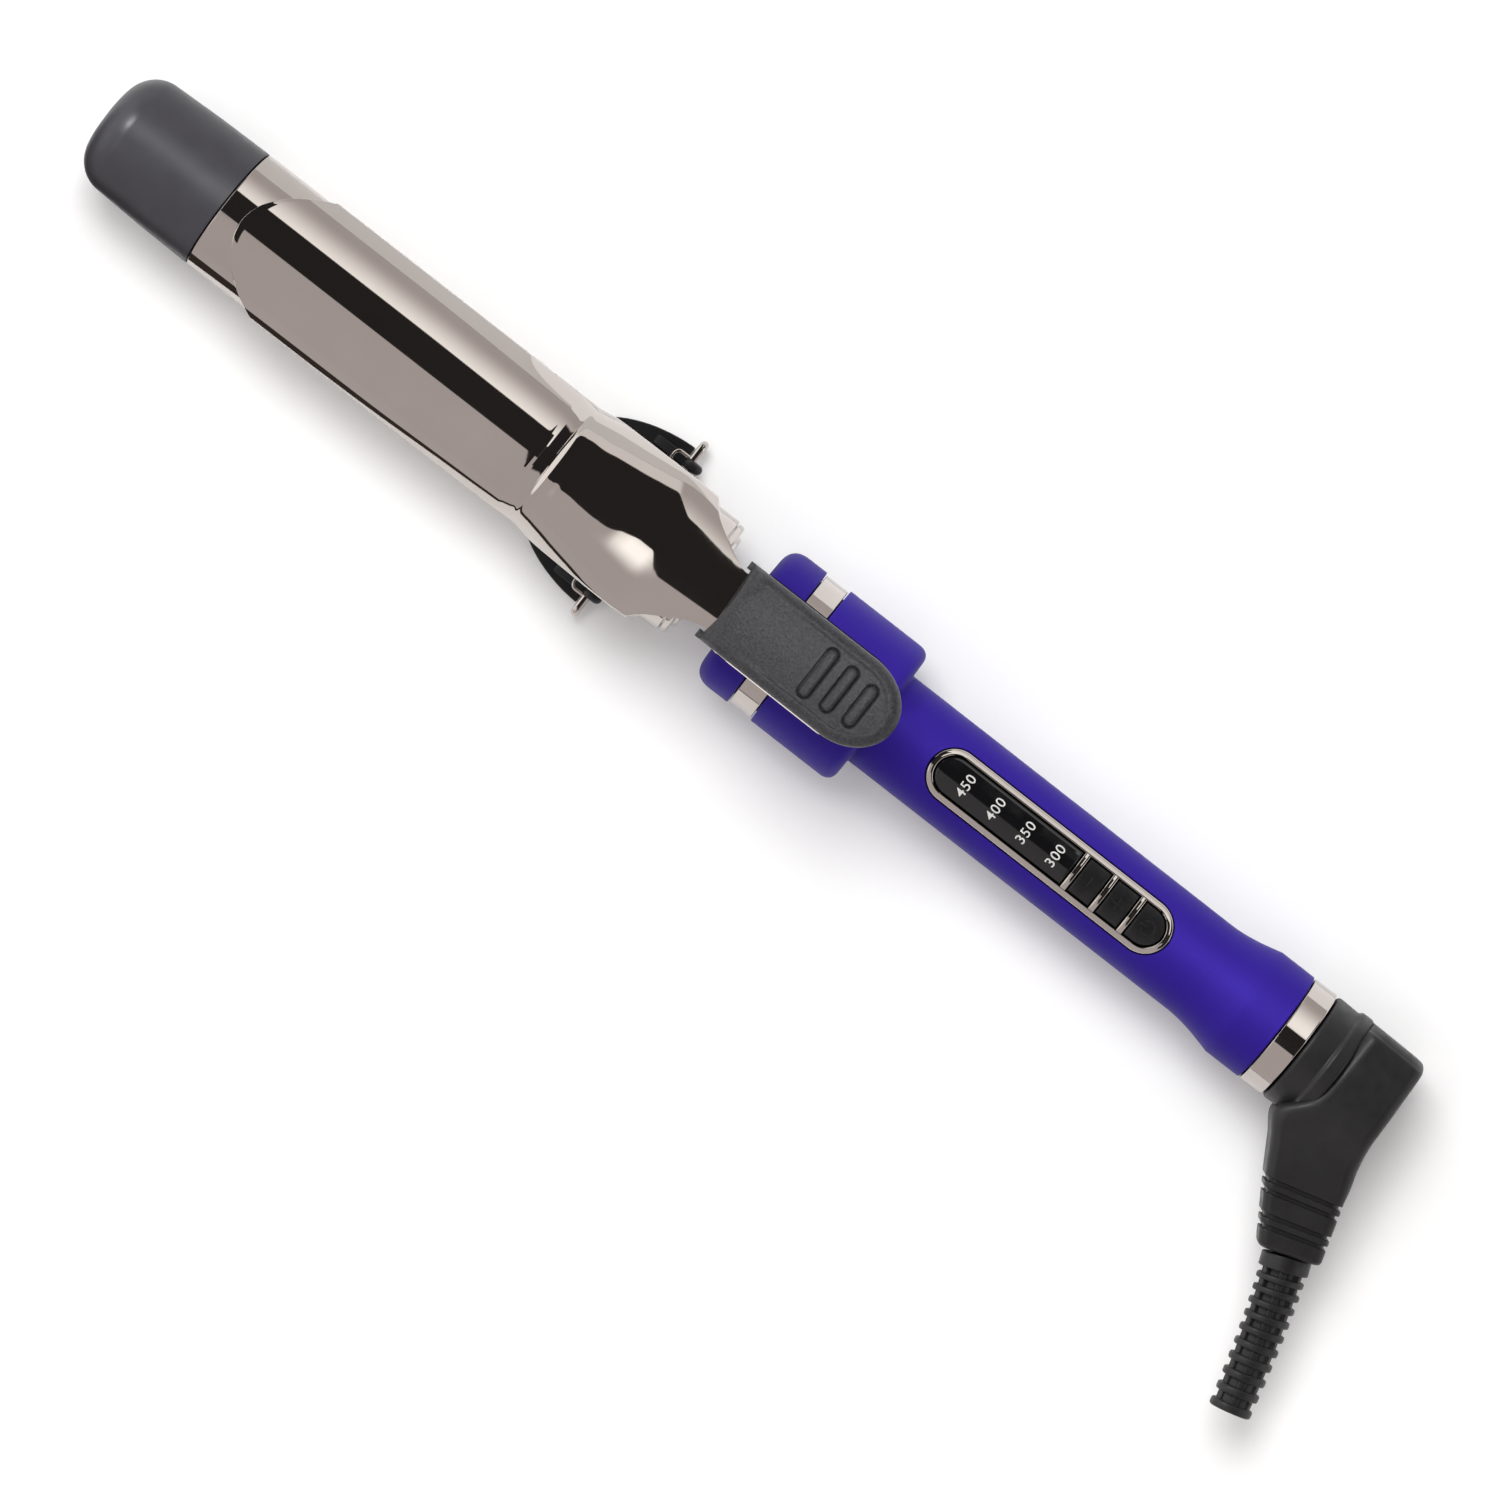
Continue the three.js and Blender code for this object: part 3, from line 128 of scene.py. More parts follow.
def add_camera():
    data = bpy.data.cameras.new("camera")
    data.lens = LENS_MM
    data.sensor_width = 36
    data.clip_end = 50
    camera = bpy.data.objects.new("camera", data)
    bpy.context.collection.objects.link(camera)
    back = (CAMERA_PLACE - CAMERA_TARGET).normalized()
    right = PICTURE_UP.cross(back).normalized()
    up = back.cross(right)
    rows = [[right[i], up[i], back[i], CAMERA_PLACE[i]] for i in range(3)]
    camera.matrix_world = Matrix([*rows, [0, 0, 0, 1]])
    bpy.context.scene.camera = camera


add_camera()


# ---------------------------------------------------------------- shader helpers

class Finish:
    """A procedural material. Lengths given to it are millimetres."""

    def __init__(self, name, color, metallic=0.0, roughness=0.5, coat=0.0, coat_roughness=0.1, specular=0.5):
        self.material = bpy.data.materials.new(name)
        self.material.use_nodes = True
        self.tree = self.material.node_tree
        self.shader = self.tree.nodes["Principled BSDF"]
        self.shader.inputs["Base Color"].default_value = (*color, 1)
        self.shader.inputs["Metallic"].default_value = metallic
        self.shader.inputs["Roughness"].default_value = roughness
        self.shader.inputs["Coat Weight"].default_value = coat
        self.shader.inputs["Coat Roughness"].default_value = coat_roughness
        self.shader.inputs["Specular IOR Level"].default_value = specular
        self.place = self.tree.nodes.new("ShaderNodeTexCoord").outputs["Object"]

    def node(self, kind, links=None, **values):
        node = self.tree.nodes.new(kind)
        for key, value in values.items():
            if hasattr(node, key):
                setattr(node, key, value)
            else:
                node.inputs[key.replace("_", " ")].default_value = value
        for key, output in (links or {}).items():
            self.tree.links.new(output, node.inputs[key])
        return node

    def noise(self, size, detail=2.0, rough=0.5, stretch=(1, 1, 1)):
        """Cloudy pattern whose blotches are about that size."""
        place = self.node("ShaderNodeMapping", {"Vector": self.place}, Scale=stretch).outputs["Vector"]
        noise = self.node("ShaderNodeTexNoise", {"Vector": place})
        noise.inputs["Scale"].default_value = 1 / (size * MM)
        noise.inputs["Detail"].default_value = detail
        noise.inputs["Roughness"].default_value = rough
        return noise.outputs["Fac"]

    def cells(self, size, feature="F1"):
        cells = self.node("ShaderNodeTexVoronoi", {"Vector": self.place}, feature=feature)
        cells.inputs["Scale"].default_value = 1 / (size * MM)
        return cells.outputs["Distance"]

    def spread(self, value, low, high, start=0.3, end=0.7):
        """Value, stretched from start..end to low..high."""
        node = self.node("ShaderNodeMapRange", {"Value": value})
        for key, number in (("From Min", start), ("From Max", end), ("To Min", low), ("To Max", high)):
            node.inputs[key].default_value = number
        return node.outputs["Result"]

    def rough(self, value):
        self.tree.links.new(value, self.shader.inputs["Roughness"])
        return self

    def tint(self, value, low, high):
        """Colour that runs between two colours as the value does."""
        mix = self.node("ShaderNodeMix", data_type="RGBA")
        self.tree.links.new(value, mix.inputs[0])
        mix.inputs[6].default_value = (*low, 1)
        mix.inputs[7].default_value = (*high, 1)
        self.tree.links.new(mix.outputs[2], self.shader.inputs["Base Color"])
        return self

    def bumps(self, *layers):
        """Each layer is (height value, depth in millimetres)."""
        normal = None
        for height, depth in layers:
            links = {"Height": height}
            if normal is not None:
                links["Normal"] = normal
            bump = self.node("ShaderNodeBump", links)
            bump.inputs["Distance"].default_value = depth * MM
            bump.inputs["Strength"].default_value = 1
            normal = bump.outputs["Normal"]
        self.tree.links.new(normal, self.shader.inputs["Normal"])
        return self


def plated_finish():
    f = Finish("warm_plating", (0.5, 0.456, 0.425), metallic=1, roughness=0.04)
    smudge = f.noise(22, 3)
    f.tint(f.spread(smudge, 0, 1), (0.485, 0.441, 0.411), (0.515, 0.471, 0.439))
    f.rough(f.spread(smudge, 0.03, 0.06))
    return f.bumps((f.noise(16, 1, 0.4, (0.45, 1, 1)), 0.006), (f.noise(0.7, 2), 0.0004))


def violet_finish():
    f = Finish("violet_soft_touch", (0.022, 0.0085, 0.2), metallic=0.4, roughness=0.54, specular=0.12)
    flakes = f.cells(0.16)
    f.tint(f.spread(flakes, 0, 1, 0.1, 0.8), (0.025, 0.0095, 0.22), (0.019, 0.0075, 0.18))
    f.rough(f.spread(f.noise(9, 3), 0.51, 0.57))
    return f.bumps((f.noise(0.22, 2), 0.003), (f.noise(6, 2), 0.006))


def charcoal_finish():
    f = Finish("charcoal_plastic", (0.026, 0.025, 0.03), roughness=0.38, specular=0.45)
    cloud = f.noise(7, 4)
    f.tint(f.spread(cloud, 0, 1), (0.024, 0.023, 0.028), (0.029, 0.028, 0.034))
    f.rough(f.spread(f.noise(3, 3), 0.35, 0.42))
    return f.bumps((f.noise(0.3, 3, 0.6), 0.006), (f.noise(11, 2), 0.01))


def pad_finish():
    f = Finish("grained_pad", (0.034, 0.034, 0.037), roughness=0.45, specular=0.4)
    wrinkles = f.noise(0.55, 3, 0.5)
    f.tint(f.spread(wrinkles, 0, 1), (0.017, 0.017, 0.019), (0.042, 0.042, 0.0465))
    f.rough(f.spread(f.noise(0.5, 2), 0.34, 0.46))
    return f.bumps((wrinkles, 0.12), (f.cells(0.8), 0.05), (f.noise(0.2, 2), 0.003))


def black_finish():
    f = Finish("black_moulding", (0.013, 0.0122, 0.0132), roughness=0.45, specular=0.35)
    f.tint(f.spread(f.noise(8, 4), 0, 1), (0.011, 0.0103, 0.0112), (0.016, 0.0152, 0.0165))
    f.rough(f.spread(f.noise(2.4, 3), 0.38, 0.54))
    return f.bumps((f.noise(0.28, 3, 0.6), 0.006), (f.noise(5, 2), 0.012))


def gloss_finish():
    f = Finish("gloss_black_lens", (0.006, 0.006, 0.007), roughness=0.06, coat=0.1, coat_roughness=0.04)
    f.rough(f.spread(f.noise(6, 3), 0.04, 0.12))
    return f.bumps((f.noise(9, 1), 0.02), (f.noise(0.6, 2), 0.0004))


def key_finish():
    f = Finish("key_rubber", (0.01, 0.0095, 0.0105), roughness=0.42, specular=0.4)
    f.tint(f.spread(f.noise(1.5, 3), 0, 1), (0.008, 0.0076, 0.0084), (0.013, 0.0124, 0.0137))
    f.rough(f.spread(f.noise(0.8, 2), 0.36, 0.5))
    return f.bumps((f.noise(0.2, 2), 0.005))


def steel_finish(name, color, roughness, grain):
    f = Finish(name, color, metallic=1, roughness=roughness)
    lines = f.noise(0.5, 3, 0.6, grain)
    f.tint(f.spread(f.noise(4, 3), 0, 1), color, tuple(0.9 * c for c in color))
    f.rough(f.spread(lines, roughness - 0.08, roughness + 0.1))
    return f.bumps((lines, 0.004))


def plain_finish(name, color, roughness=0.5, metallic=0.0, size=1.0, depth=0.006):
    f = Finish(name, color, metallic=metallic, roughness=roughness)
    darker = tuple(0.85 * c for c in color)
    lighter = tuple(min(1.1 * c, 1) for c in color)
    f.tint(f.spread(f.noise(3 * size, 3), 0, 1), darker, lighter)
    f.rough(f.spread(f.noise(size, 3), roughness - 0.08, min(roughness + 0.1, 1)))
    return f.bumps((f.noise(0.4 * size, 2), depth))


def paper_finish():
    f = Finish("white_paper", (0.86, 0.86, 0.86), roughness=0.9, specular=0.1)
    f.tint(f.spread(f.noise(2, 3), 0, 1), (0.857, 0.857, 0.857), (0.863, 0.863, 0.863))
    return f.bumps((f.noise(0.5, 2), 0.001))


FINISHES = {
    "plated": plated_finish(),
    "violet": violet_finish(),
    "charcoal": charcoal_finish(),
    "pad": pad_finish(),
    "black": black_finish(),
    "window": gloss_finish(),
    "key": key_finish(),
    "steel": steel_finish("bright_steel", (0.5, 0.49, 0.48), 0.28, (0.05, 2, 2)),
    "aluminium": steel_finish("drawn_aluminium", (0.62, 0.62, 0.63), 0.4, (0.1, 1, 1)),
    "ceramic": plain_finish("heater_ceramic", (0.78, 0.74, 0.66), 0.8),
    "sensor": plain_finish("epoxy_bead", (0.02, 0.02, 0.02), 0.3),
    "board": plain_finish("solder_mask", (0.015, 0.1, 0.04), 0.35),
    "switch": plain_finish("switch_body", (0.04, 0.04, 0.04), 0.55),
    "lamp": plain_finish("clear_lens", (0.75, 0.75, 0.7), 0.2),
    "brass": steel_finish("turned_brass", (0.62, 0.43, 0.17), 0.25, (1, 0.2, 1)),
    "lead_red": plain_finish("red_insulation", (0.42, 0.03, 0.02), 0.45),
    "lead_blue": plain_finish("blue_insulation", (0.02, 0.08, 0.38), 0.45),
    "ink": plain_finish("white_print", (0.82, 0.82, 0.8), 0.5, size=0.5, depth=0.001),
    "floor": paper_finish(),
}


# ---------------------------------------------------------------- mesh helpers

def make(name, verts, faces, finish, body, nodes=(), slot=None, sharp=35):
    """One piece of the object: a mesh in millimetres that rides on a body and stands for some CAD nodes."""
    mesh = bpy.data.meshes.new(name)
    mesh.from_pydata([[value * MM for value in vert] for vert in verts], [], faces)
    mesh.validate()
    mesh.materials.append(FINISHES[finish].material)
    piece = bpy.data.objects.new(name, mesh)
    bpy.context.collection.objects.link(piece)
    outwards(mesh)
    smooth(mesh, sharp)
    flatten_shading(piece)
    if nodes:
        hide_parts(*nodes)
    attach(piece, body)
    return piece


def outwards(mesh):
    """Turns every closed shell's faces outwards."""
    edit = bmesh.new()
    edit.from_mesh(mesh)
    bmesh.ops.recalc_face_normals(edit, faces=edit.faces)
    edit.to_mesh(mesh)
    edit.free()


def smooth(mesh, sharp):
    mesh.polygons.foreach_set("use_smooth", [True] * len(mesh.polygons))
    mesh.set_sharp_from_angle(angle=math.radians(sharp))


def flatten_shading(piece):
    """Lets a large face keep its own shading right up to a rounded edge."""
    weights = piece.modifiers.new("shading", "WEIGHTED_NORMAL")
    weights.keep_sharp = True


def merge(*shells):
    """Puts several closed shells, each (verts, faces), into one."""
    verts, faces = [], []
    for shell_verts, shell_faces in shells:
        start = len(verts)
        verts.extend(shell_verts)
        faces.extend([[start + i for i in face] for face in shell_faces])
    return verts, faces


def loft(rings, closed=False):
    """Skin over rings of points, all with the same count: a closed tunnel, or capped at both ends."""
    count = len(rings[0])
    verts = [point for ring in rings for point in ring]
    faces = []
    for i in range(len(rings) if closed else len(rings) - 1):
        here, there = i * count, (i + 1) % len(rings) * count
        for j in range(count):
            k = (j + 1) % count
            faces.append([here + j, here + k, there + k, there + j])
    if not closed:
        faces.append(list(range(count))[::-1])
        faces.append([(len(rings) - 1) * count + j for j in range(count)])
    return verts, faces


def rounded(outline, steps=5):
    """Outline of (along, out, corner radius) points with each corner made round, as (along, out) points."""
    points = []
    for i, (a, r, size) in enumerate(outline):
        here = Vector((a, r))
        before = Vector(outline[i - 1][:2]) - here
        after = Vector(outline[(i + 1) % len(outline)][:2]) - here
        if size <= 0:
            points.append((a, r))
            continue
        half = before.angle(after) / 2
        reach = min(size / math.tan(half), before.length * 0.49, after.length * 0.49)
        start, end = before.normalized() * reach, after.normalized() * reach
        for k in range(steps + 1):
            t = k / steps
            bend = (1 - t) ** 2 * start + t ** 2 * end
            points.append(tuple(here + bend))
    return points


def turned(outline, segments=120, arc=(0, 360)):
    """Revolves an outline of (station, radius) about the tool's axis. Less than a full turn is capped."""
    start, sweep = arc[0], arc[1] - arc[0]
    whole = sweep >= 360
    steps = segments if whole else max(2, round(segments * sweep / 360))
    rings = []
    for i in range(steps if whole else steps + 1):
        angle = math.radians(start + sweep * i / steps)
        rings.append([(x(s), r * math.cos(angle), AXIS_Z + r * math.sin(angle)) for s, r in outline])
    return loft(rings, closed=whole)

def circle(centre, across, up, radius, sides):
    return [tuple(centre + radius * (math.cos(2 * math.pi * i / sides) * across
                                     + math.sin(2 * math.pi * i / sides) * up)) for i in range(sides)]


def between(a, b, c, d, t):
    """Place from b to c on the smooth curve through four points, or four numbers."""
    square = (2 * a - 5 * b + 4 * c - d) * t * t
    cube = (3 * b - a - 3 * c + d) * t ** 3
    return 0.5 * (2 * b + (c - a) * t + square + cube)

def spline(points, steps):
    """Smooth line through points, as many steps long."""
    knots = [Vector(p) for p in points]
    line = []
    for i in range(steps + 1):
        place = (len(knots) - 1) * i / steps
        k = min(int(place), len(knots) - 2)
        t = place - k
        a, b = knots[max(k - 1, 0)], knots[k]
        c, d = knots[k + 1], knots[min(k + 2, len(knots) - 1)]
        line.append(between(a, b, c, d, t))
    return line


def tube(points, radius, steps=40, sides=16):
    """Round wire through points, with domed ends."""
    line = spline(points, steps)
    tangents = [(line[min(i + 1, steps)] - line[max(i - 1, 0)]).normalized() for i in range(steps + 1)]
    across = tangents[0].orthogonal().normalized()
    rings = []
    for i, (centre, tangent) in enumerate(zip(line, tangents)):
        across = (across - tangent * across.dot(tangent)).normalized()
        up = tangent.cross(across)
        if i == 0:
            for t in (0.1, 0.5, 0.85):
                rings.append(circle(centre - tangent * radius * math.cos(t * math.pi / 2), across, up,
                                    radius * math.sin(t * math.pi / 2), sides))
        rings.append(circle(centre, across, up, radius, sides))
        if i == steps:
            for t in (0.85, 0.5, 0.1):
                rings.append(circle(centre + tangent * radius * math.cos(t * math.pi / 2), across, up,
                                    radius * math.sin(t * math.pi / 2), sides))
    return loft(rings)


def side_plate(outline, across):
    """Outline of (station, height) points in side view, given thickness across the tool."""
    near = [(x(s), across[0], z) for s, z in outline]
    far = [(x(s), across[1], z) for s, z in outline]
    return loft([near, far])


def cross_bar(station, height, radius, across, edge=0.25, sides=32):
    """Round bar across the tool with rounded edges."""
    low, high = sorted(across)
    profile = [(low, radius - edge), (low + edge * 0.3, radius - edge * 0.3), (low + edge, radius),
               (high - edge, radius), (high - edge * 0.3, radius - edge * 0.3), (high, radius - edge)]
    turns = [2 * math.pi * i / sides for i in range(sides)]
    rings = []
    for y, r in profile:
        rings.append([(x(station) + r * math.cos(turn), y, height + r * math.sin(turn)) for turn in turns])
    return loft(rings)


def smoothstep(value, low, high):
    t = min(max((value - low) / (high - low), 0), 1)
    return t * t * (3 - 2 * t)


class Plan:
    """Plan outline with straight sides and, at each end, a square or rounded nose."""

    def __init__(self, start, end, half, nose_start=0.0, nose_end=0.0):
        self.start, self.end, self.half = start, end, half
        self.nose_start, self.nose_end = nose_start, nose_end

    def rows(self, step, edge=0.0, turns=12):
        """Pairs of station and half width, close together at the ends."""
        first, last = self.start + self.nose_start, self.end - self.nose_end
        rows = []
        for i in range(turns):
            angle = math.radians(86 - 86 * i / turns)
            if self.nose_start:
                rows.append((first - self.nose_start * math.sin(angle), self.half * math.cos(angle)))
            elif edge:
                rows.append((first + edge * (i / turns) ** 1.5, self.half))
        if edge and not self.nose_start:
            first += edge
        stop = last - (edge if not self.nose_end else 0)
        count = max(1, round((stop - first) / step))
        rows += [(first + (stop - first) * i / count, self.half) for i in range(count + 1)]
        for i in range(1, turns + 1):
            angle = math.radians(86 * i / turns)
            if self.nose_end:
                rows.append((last + self.nose_end * math.sin(angle), self.half * math.cos(angle)))
            elif edge:
                rows.append((stop + edge * (1 - (1 - i / turns) ** 1.5), self.half))
        return rows

    def inset(self, station, across):
        """Distance in from the outline, about right near it."""
        side = self.half - abs(across)
        if self.nose_start and station < self.start + self.nose_start:
            lean = (self.start + self.nose_start - station) / self.nose_start
            return self.half * (1 - math.hypot(lean, across / self.half))
        if self.nose_end and station > self.end - self.nose_end:
            lean = (station - self.end + self.nose_end) / self.nose_end
            return self.half * (1 - math.hypot(lean, across / self.half))
        ahead = station - self.start if not self.nose_start else side
        behind = self.end - station if not self.nose_end else side
        return min(side, ahead, behind)


def edge_drop(inset, radius):
    """How far a rounded edge of that radius has dropped, at that distance in from the outline."""
    if inset >= radius:
        return 0.0
    return radius - math.sqrt(max(radius ** 2 - (radius - max(inset, 0)) ** 2, 0))


def pillow(plan, top, bottom, edge, step=1.0, columns=32):
    """Closed piece over a plan, between two surfaces given as height functions of (station, across)."""
    rings = []
    for station, half in plan.rows(step, edge):
        ring = []
        for j in range(columns + 1):
            across = half * math.sin(math.pi / 2 * (2 * j / columns - 1))
            drop = edge_drop(plan.inset(station, across), edge)
            ring.append((x(station), across, top(station, across) - drop))
        for j in range(columns + 1):
            across = -half * math.sin(math.pi / 2 * (2 * j / columns - 1))
            ring.append((x(station), across, bottom(station, across)))
        rings.append(ring)
    return loft(rings)


def round_top(radius):
    """Height of a surface round the tool's axis."""
    return lambda station, across: AXIS_Z + math.sqrt(radius ** 2 - across ** 2)


def cut(piece, shells, name):
    """Cuts closed shells out of a piece."""
    mesh = bpy.data.meshes.new(name)
    verts, faces = merge(*shells)
    mesh.from_pydata([[value * MM for value in vert] for vert in verts], [], faces)
    outwards(mesh)
    tool = bpy.data.objects.new(name, mesh)
    bpy.context.collection.objects.link(tool)
    modifier = piece.modifiers.new("opening", "BOOLEAN")
    modifier.operation = "DIFFERENCE"
    modifier.solver = "EXACT"
    modifier.object = tool
    graph = bpy.context.evaluated_depsgraph_get()
    result = bpy.data.meshes.new_from_object(piece.evaluated_get(graph))
    piece.modifiers.clear()
    old = piece.data
    piece.data = result
    result.name = old.name + "_cut"
    bpy.data.objects.remove(tool)
    smooth(result, 30)


# ---------------------------------------------------------------- heated barrel

def tip_cap():
    end = BARREL_START - GAP
    inner_end = end + SPIGOT_LENGTH
    nose = []
    for i in range(15):
        angle = math.radians(180 - 84 * i / 14)
        out = (CAP_FRONT_R - CAP_NOSE_R) * math.sin(angle)
        nose.append((CAP_CORNER + CAP_CORNER * math.cos(angle), CAP_NOSE_R + out))
    outline = [(0, 0)] + nose
    outline += [(end * 0.6, BARREL_R - 0.2), (end - 0.35, BARREL_R)]
    outline += [(end - 0.1, BARREL_R - 0.1), (end, BARREL_R - 0.35)]
    outline += [(end, SPIGOT_R), (inner_end, SPIGOT_R), (inner_end, CAP_BORE_R)]
    outline += [(CAP_WALL, CAP_BORE_R), (CAP_WALL, 0)]
    make("cap_shell", *turned(outline), "charcoal", "iron", ["tip_cap"])

def barrel():
    tube_outline = rounded([
        (BARREL_START, BARREL_R - TUBE_WALL, 0.1), (BARREL_START, BARREL_R, 0.25),
        (BARREL_END, BARREL_R, 0.35), (BARREL_END, BARREL_R - TUBE_WALL, 0.1),
    ])
    make("barrel_shell", *turned(tube_outline, 160), "plated", "iron", ["barrel_tube"])
    bore = NECK_R + GAP
    cap = rounded([
        (BARREL_END + GAP, END_CAP_R, 0.3), (END_CAP_END - 1.1, END_CAP_R - 0.1, 0.9),
        (END_CAP_END - 1.0, END_CAP_R - 2.4, 0.5), (END_CAP_END, END_CAP_R - 3.0, 0.6),
        (END_CAP_END, bore + 0.2, 0.3), (END_CAP_END - 1.2, bore, 0.2),
        (END_CAP_INNER, bore, 0), (END_CAP_INNER, SPIGOT_R, 0), (BARREL_END + GAP, SPIGOT_R, 0),
    ])
    make("end_cap_shell", *turned(cap, 160), "plated", "iron", ["barrel_end_cap"])
    neck = rounded([
        (NECK_START, NECK_R - TUBE_WALL, 0.1), (NECK_START, NECK_R, 0.3),
        (NECK_END, NECK_R, 0.3), (NECK_END, NECK_R - TUBE_WALL, 0.1),
    ])
    make("neck_shell", *turned(neck, 72), "steel", "iron", ["neck_tube"])


# ---------------------------------------------------------------- clamp

SHEET = 0.7
CLAMP_START = 40.6
CLAMP_NOSE = 14.0
NOSE_END = CLAMP_START + CLAMP_NOSE + 3
PAD_STRAIGHT_END = 217.4
PAD_NOSE = 13.1
TONGUE_HALF = 11.0
SHEET_CLEARANCE = 0.15             # between the sheet and the barrel under it
FINE_ROWS = (125, 190)             # stations between which the sheet bends quickly
FINE_STEP = 0.4
COARSE_STEP = 2.5
TONGUE_START = 188
SIDE_TURN = 0.6                    # size of the bend where a side turns down
SIDE_STEPS = (0.03, 0.07, 0.14, 0.25, 0.45, 0.7, 1.0)
# distance in from the nose's edge, and how far the outer and the inner face are under the sheet's top there
NOSE_LIP = [(0.0, 0.32, 0.38), (0.09, 0.12, 0.58), (0.32, 0.0, 0.7)]
# station, half width, crown height above the axis, radius of the section, depth of the turned-down sides
CLAMP_FORM = [
    [40.6, 16.5, 16.85, 18.8, 0],
    [53.0, 16.5, 16.85, 18.8, 0.2],
    [60.0, 16.5, 16.85, 18.8, 5.5],
    [86.0, 16.5, 16.85, 18.8, 5.5],
    [112.0, 16.5, 16.85, 18.2, 5.5],
    [126.0, 16.5, 16.88, 17.8, 5],
    [127.3, 16.5, 17.0, 17.5, 4.5],
    [128.4, 16.5, 16.96, 17.2, 4],
    [129.7, 16.5, 16.72, 17.0, 3.5],
    [131.2, 16.55, 16.3, 16.8, 3],
    [132.2, 16.65, 17.0, 16.85, 2.5],
    [134.2, 17.05, 17.75, 17.1, 2.5],
    [137.0, 17.3, 18.65, 17.8, 3],
    [142.0, 17.35, 20.6, 18.9, 4.5],
    [148.0, 17.35, 22.75, 20.0, 7],
    [154.0, 17.35, 24.65, 21.2, 7.5],
    [160.0, 17.3, 26.12, 22.2, 7.5],
    [163.0, 17.25, 26.64, 22.0, 7],
    [166.2, 17.1, 27.02, 21.4, 5],
    [168.0, 15.4, 27.19, 21.0, 2],
    [170.0, 13.7, 27.36, 20.6, 0.8],
    [173.9, 11.2, 27.68, 19.8, 0.4],
    [177.9, 9.1, 28.0, 19, 0.2],
    [182.3, 7.9, 28.36, 18.2, 0],
    [184.3, 8.2, 28.55, 18, 0],
    [186.3, 10.6, 28.94, 30, 0],
    [188.3, 10.9, 29.26, 45, 0],
    [231.2, 10.9, 36.4, 45, 0],
]


def form_slope(row, column):
    rows = CLAMP_FORM
    before, after = rows[max(row - 1, 0)], rows[min(row + 1, len(rows) - 1)]
    left = (rows[row][column] - before[column]) / ((rows[row][0] - before[0]) or 1)
    right = (after[column] - rows[row][column]) / ((after[0] - rows[row][0]) or 1)
    return 2 * left * right / (left + right) if left * right > 0 else 0


def clamp_form(station):
    """Smooth values between the rows of CLAMP_FORM: half width, crown, radius, depth of the sides."""
    rows = CLAMP_FORM
    i = 0
    while i < len(rows) - 2 and station > rows[i + 1][0]:
        i += 1
    length = rows[i + 1][0] - rows[i][0]
    t = min(max((station - rows[i][0]) / length, 0), 1)
    values = []
    for column in (1, 2, 3, 4):
        blend = 3 * t ** 2 - 2 * t ** 3
        value = (1 - blend) * rows[i][column] + blend * rows[i + 1][column]
        value += length * ((t ** 3 - 2 * t ** 2 + t) * form_slope(i, column)
                           + (t ** 3 - t ** 2) * form_slope(i + 1, column))
        values.append(value)
    return values


def clamp_point(station, side, depth, half=None):
    """Point on the clamp sheet: side runs from -1 to 1 across it, depth is how far under its outer face.
    Past 1 it goes down the turned-down side, to its edge at 2."""
    form_half, crown, radius, side_depth = clamp_form(station)
    angle = min(max(side, -1), 1) * math.asin(min((form_half if half is None else half) / radius, 1))
    across, height = radius * math.sin(angle), AXIS_Z + crown - radius * (1 - math.cos(angle))
    if abs(side) <= 1 or side_depth <= 0:
        return (x(station), across - depth * math.sin(angle), height - depth * math.cos(angle))
    drop = (abs(side) - 1) * side_depth
    fade = math.exp(-drop / SIDE_TURN)
    outward = math.copysign(1, side)
    normal = Vector((1, fade / math.tan(abs(angle)))).normalized()
    across += outward * (SIDE_TURN / math.tan(abs(angle)) * (1 - fade) - depth * normal.x)
    return (x(station), across, height - drop - depth * normal.y)


def clamp_rows():
    """Kind of row and its place, from the nose back: lip, nose, body and rounded tongue."""
    rows = [("lip", lip) for lip in NOSE_LIP]
    rows += [("nose", k / 10) for k in range(1, 11)]
    station = NOSE_END + 1.5
    while station < PAD_STRAIGHT_END:
        rows.append(("body", station))
        station += FINE_STEP if FINE_ROWS[0] < station < FINE_ROWS[1] else COARSE_STEP
    rows += [("tongue", math.radians(angle)) for angle in range(0, 88, 6)]
    return rows

def clamp_pair(kind, value, side):
    """Outer and inner point of one row of the sheet."""
    half = None
    top, under = 0, SHEET
    edge = CLAMP_START + CLAMP_NOSE * (1 - math.cos(min(abs(side), 1) * math.pi / 2))
    if kind == "lip":
        inward, top, under = value
        station = edge + inward
    elif kind == "nose":
        start = edge + NOSE_LIP[-1][0]
        station = start + (NOSE_END - start) * value
    elif kind == "tongue":
        station = PAD_STRAIGHT_END + (PAD_NOSE + 0.2) * math.sin(value)
        half = TONGUE_HALF * math.cos(value)
    else:
        station = value
        under = min(SHEET, clamp_form(station)[1] - BARREL_R - SHEET_CLEARANCE)
        if station > TONGUE_START:
            half = TONGUE_HALF
    return clamp_point(station, side, top, half), clamp_point(station, side, under, half)

def clamp_plate():
    columns = 72
    sides = [-1 - share for share in SIDE_STEPS[::-1]]
    sides += [2 * j / columns - 1 for j in range(columns + 1)]
    sides += [1 + share for share in SIDE_STEPS]
    rings = []
    for kind, value in clamp_rows():
        pairs = [clamp_pair(kind, value, side) for side in sides]
        rings.append([outer for outer, _ in pairs] + [inner for _, inner in pairs[::-1]])
    make("clamp_sheet", *loft(rings), "plated", "clamp", ["clamp_plate"])

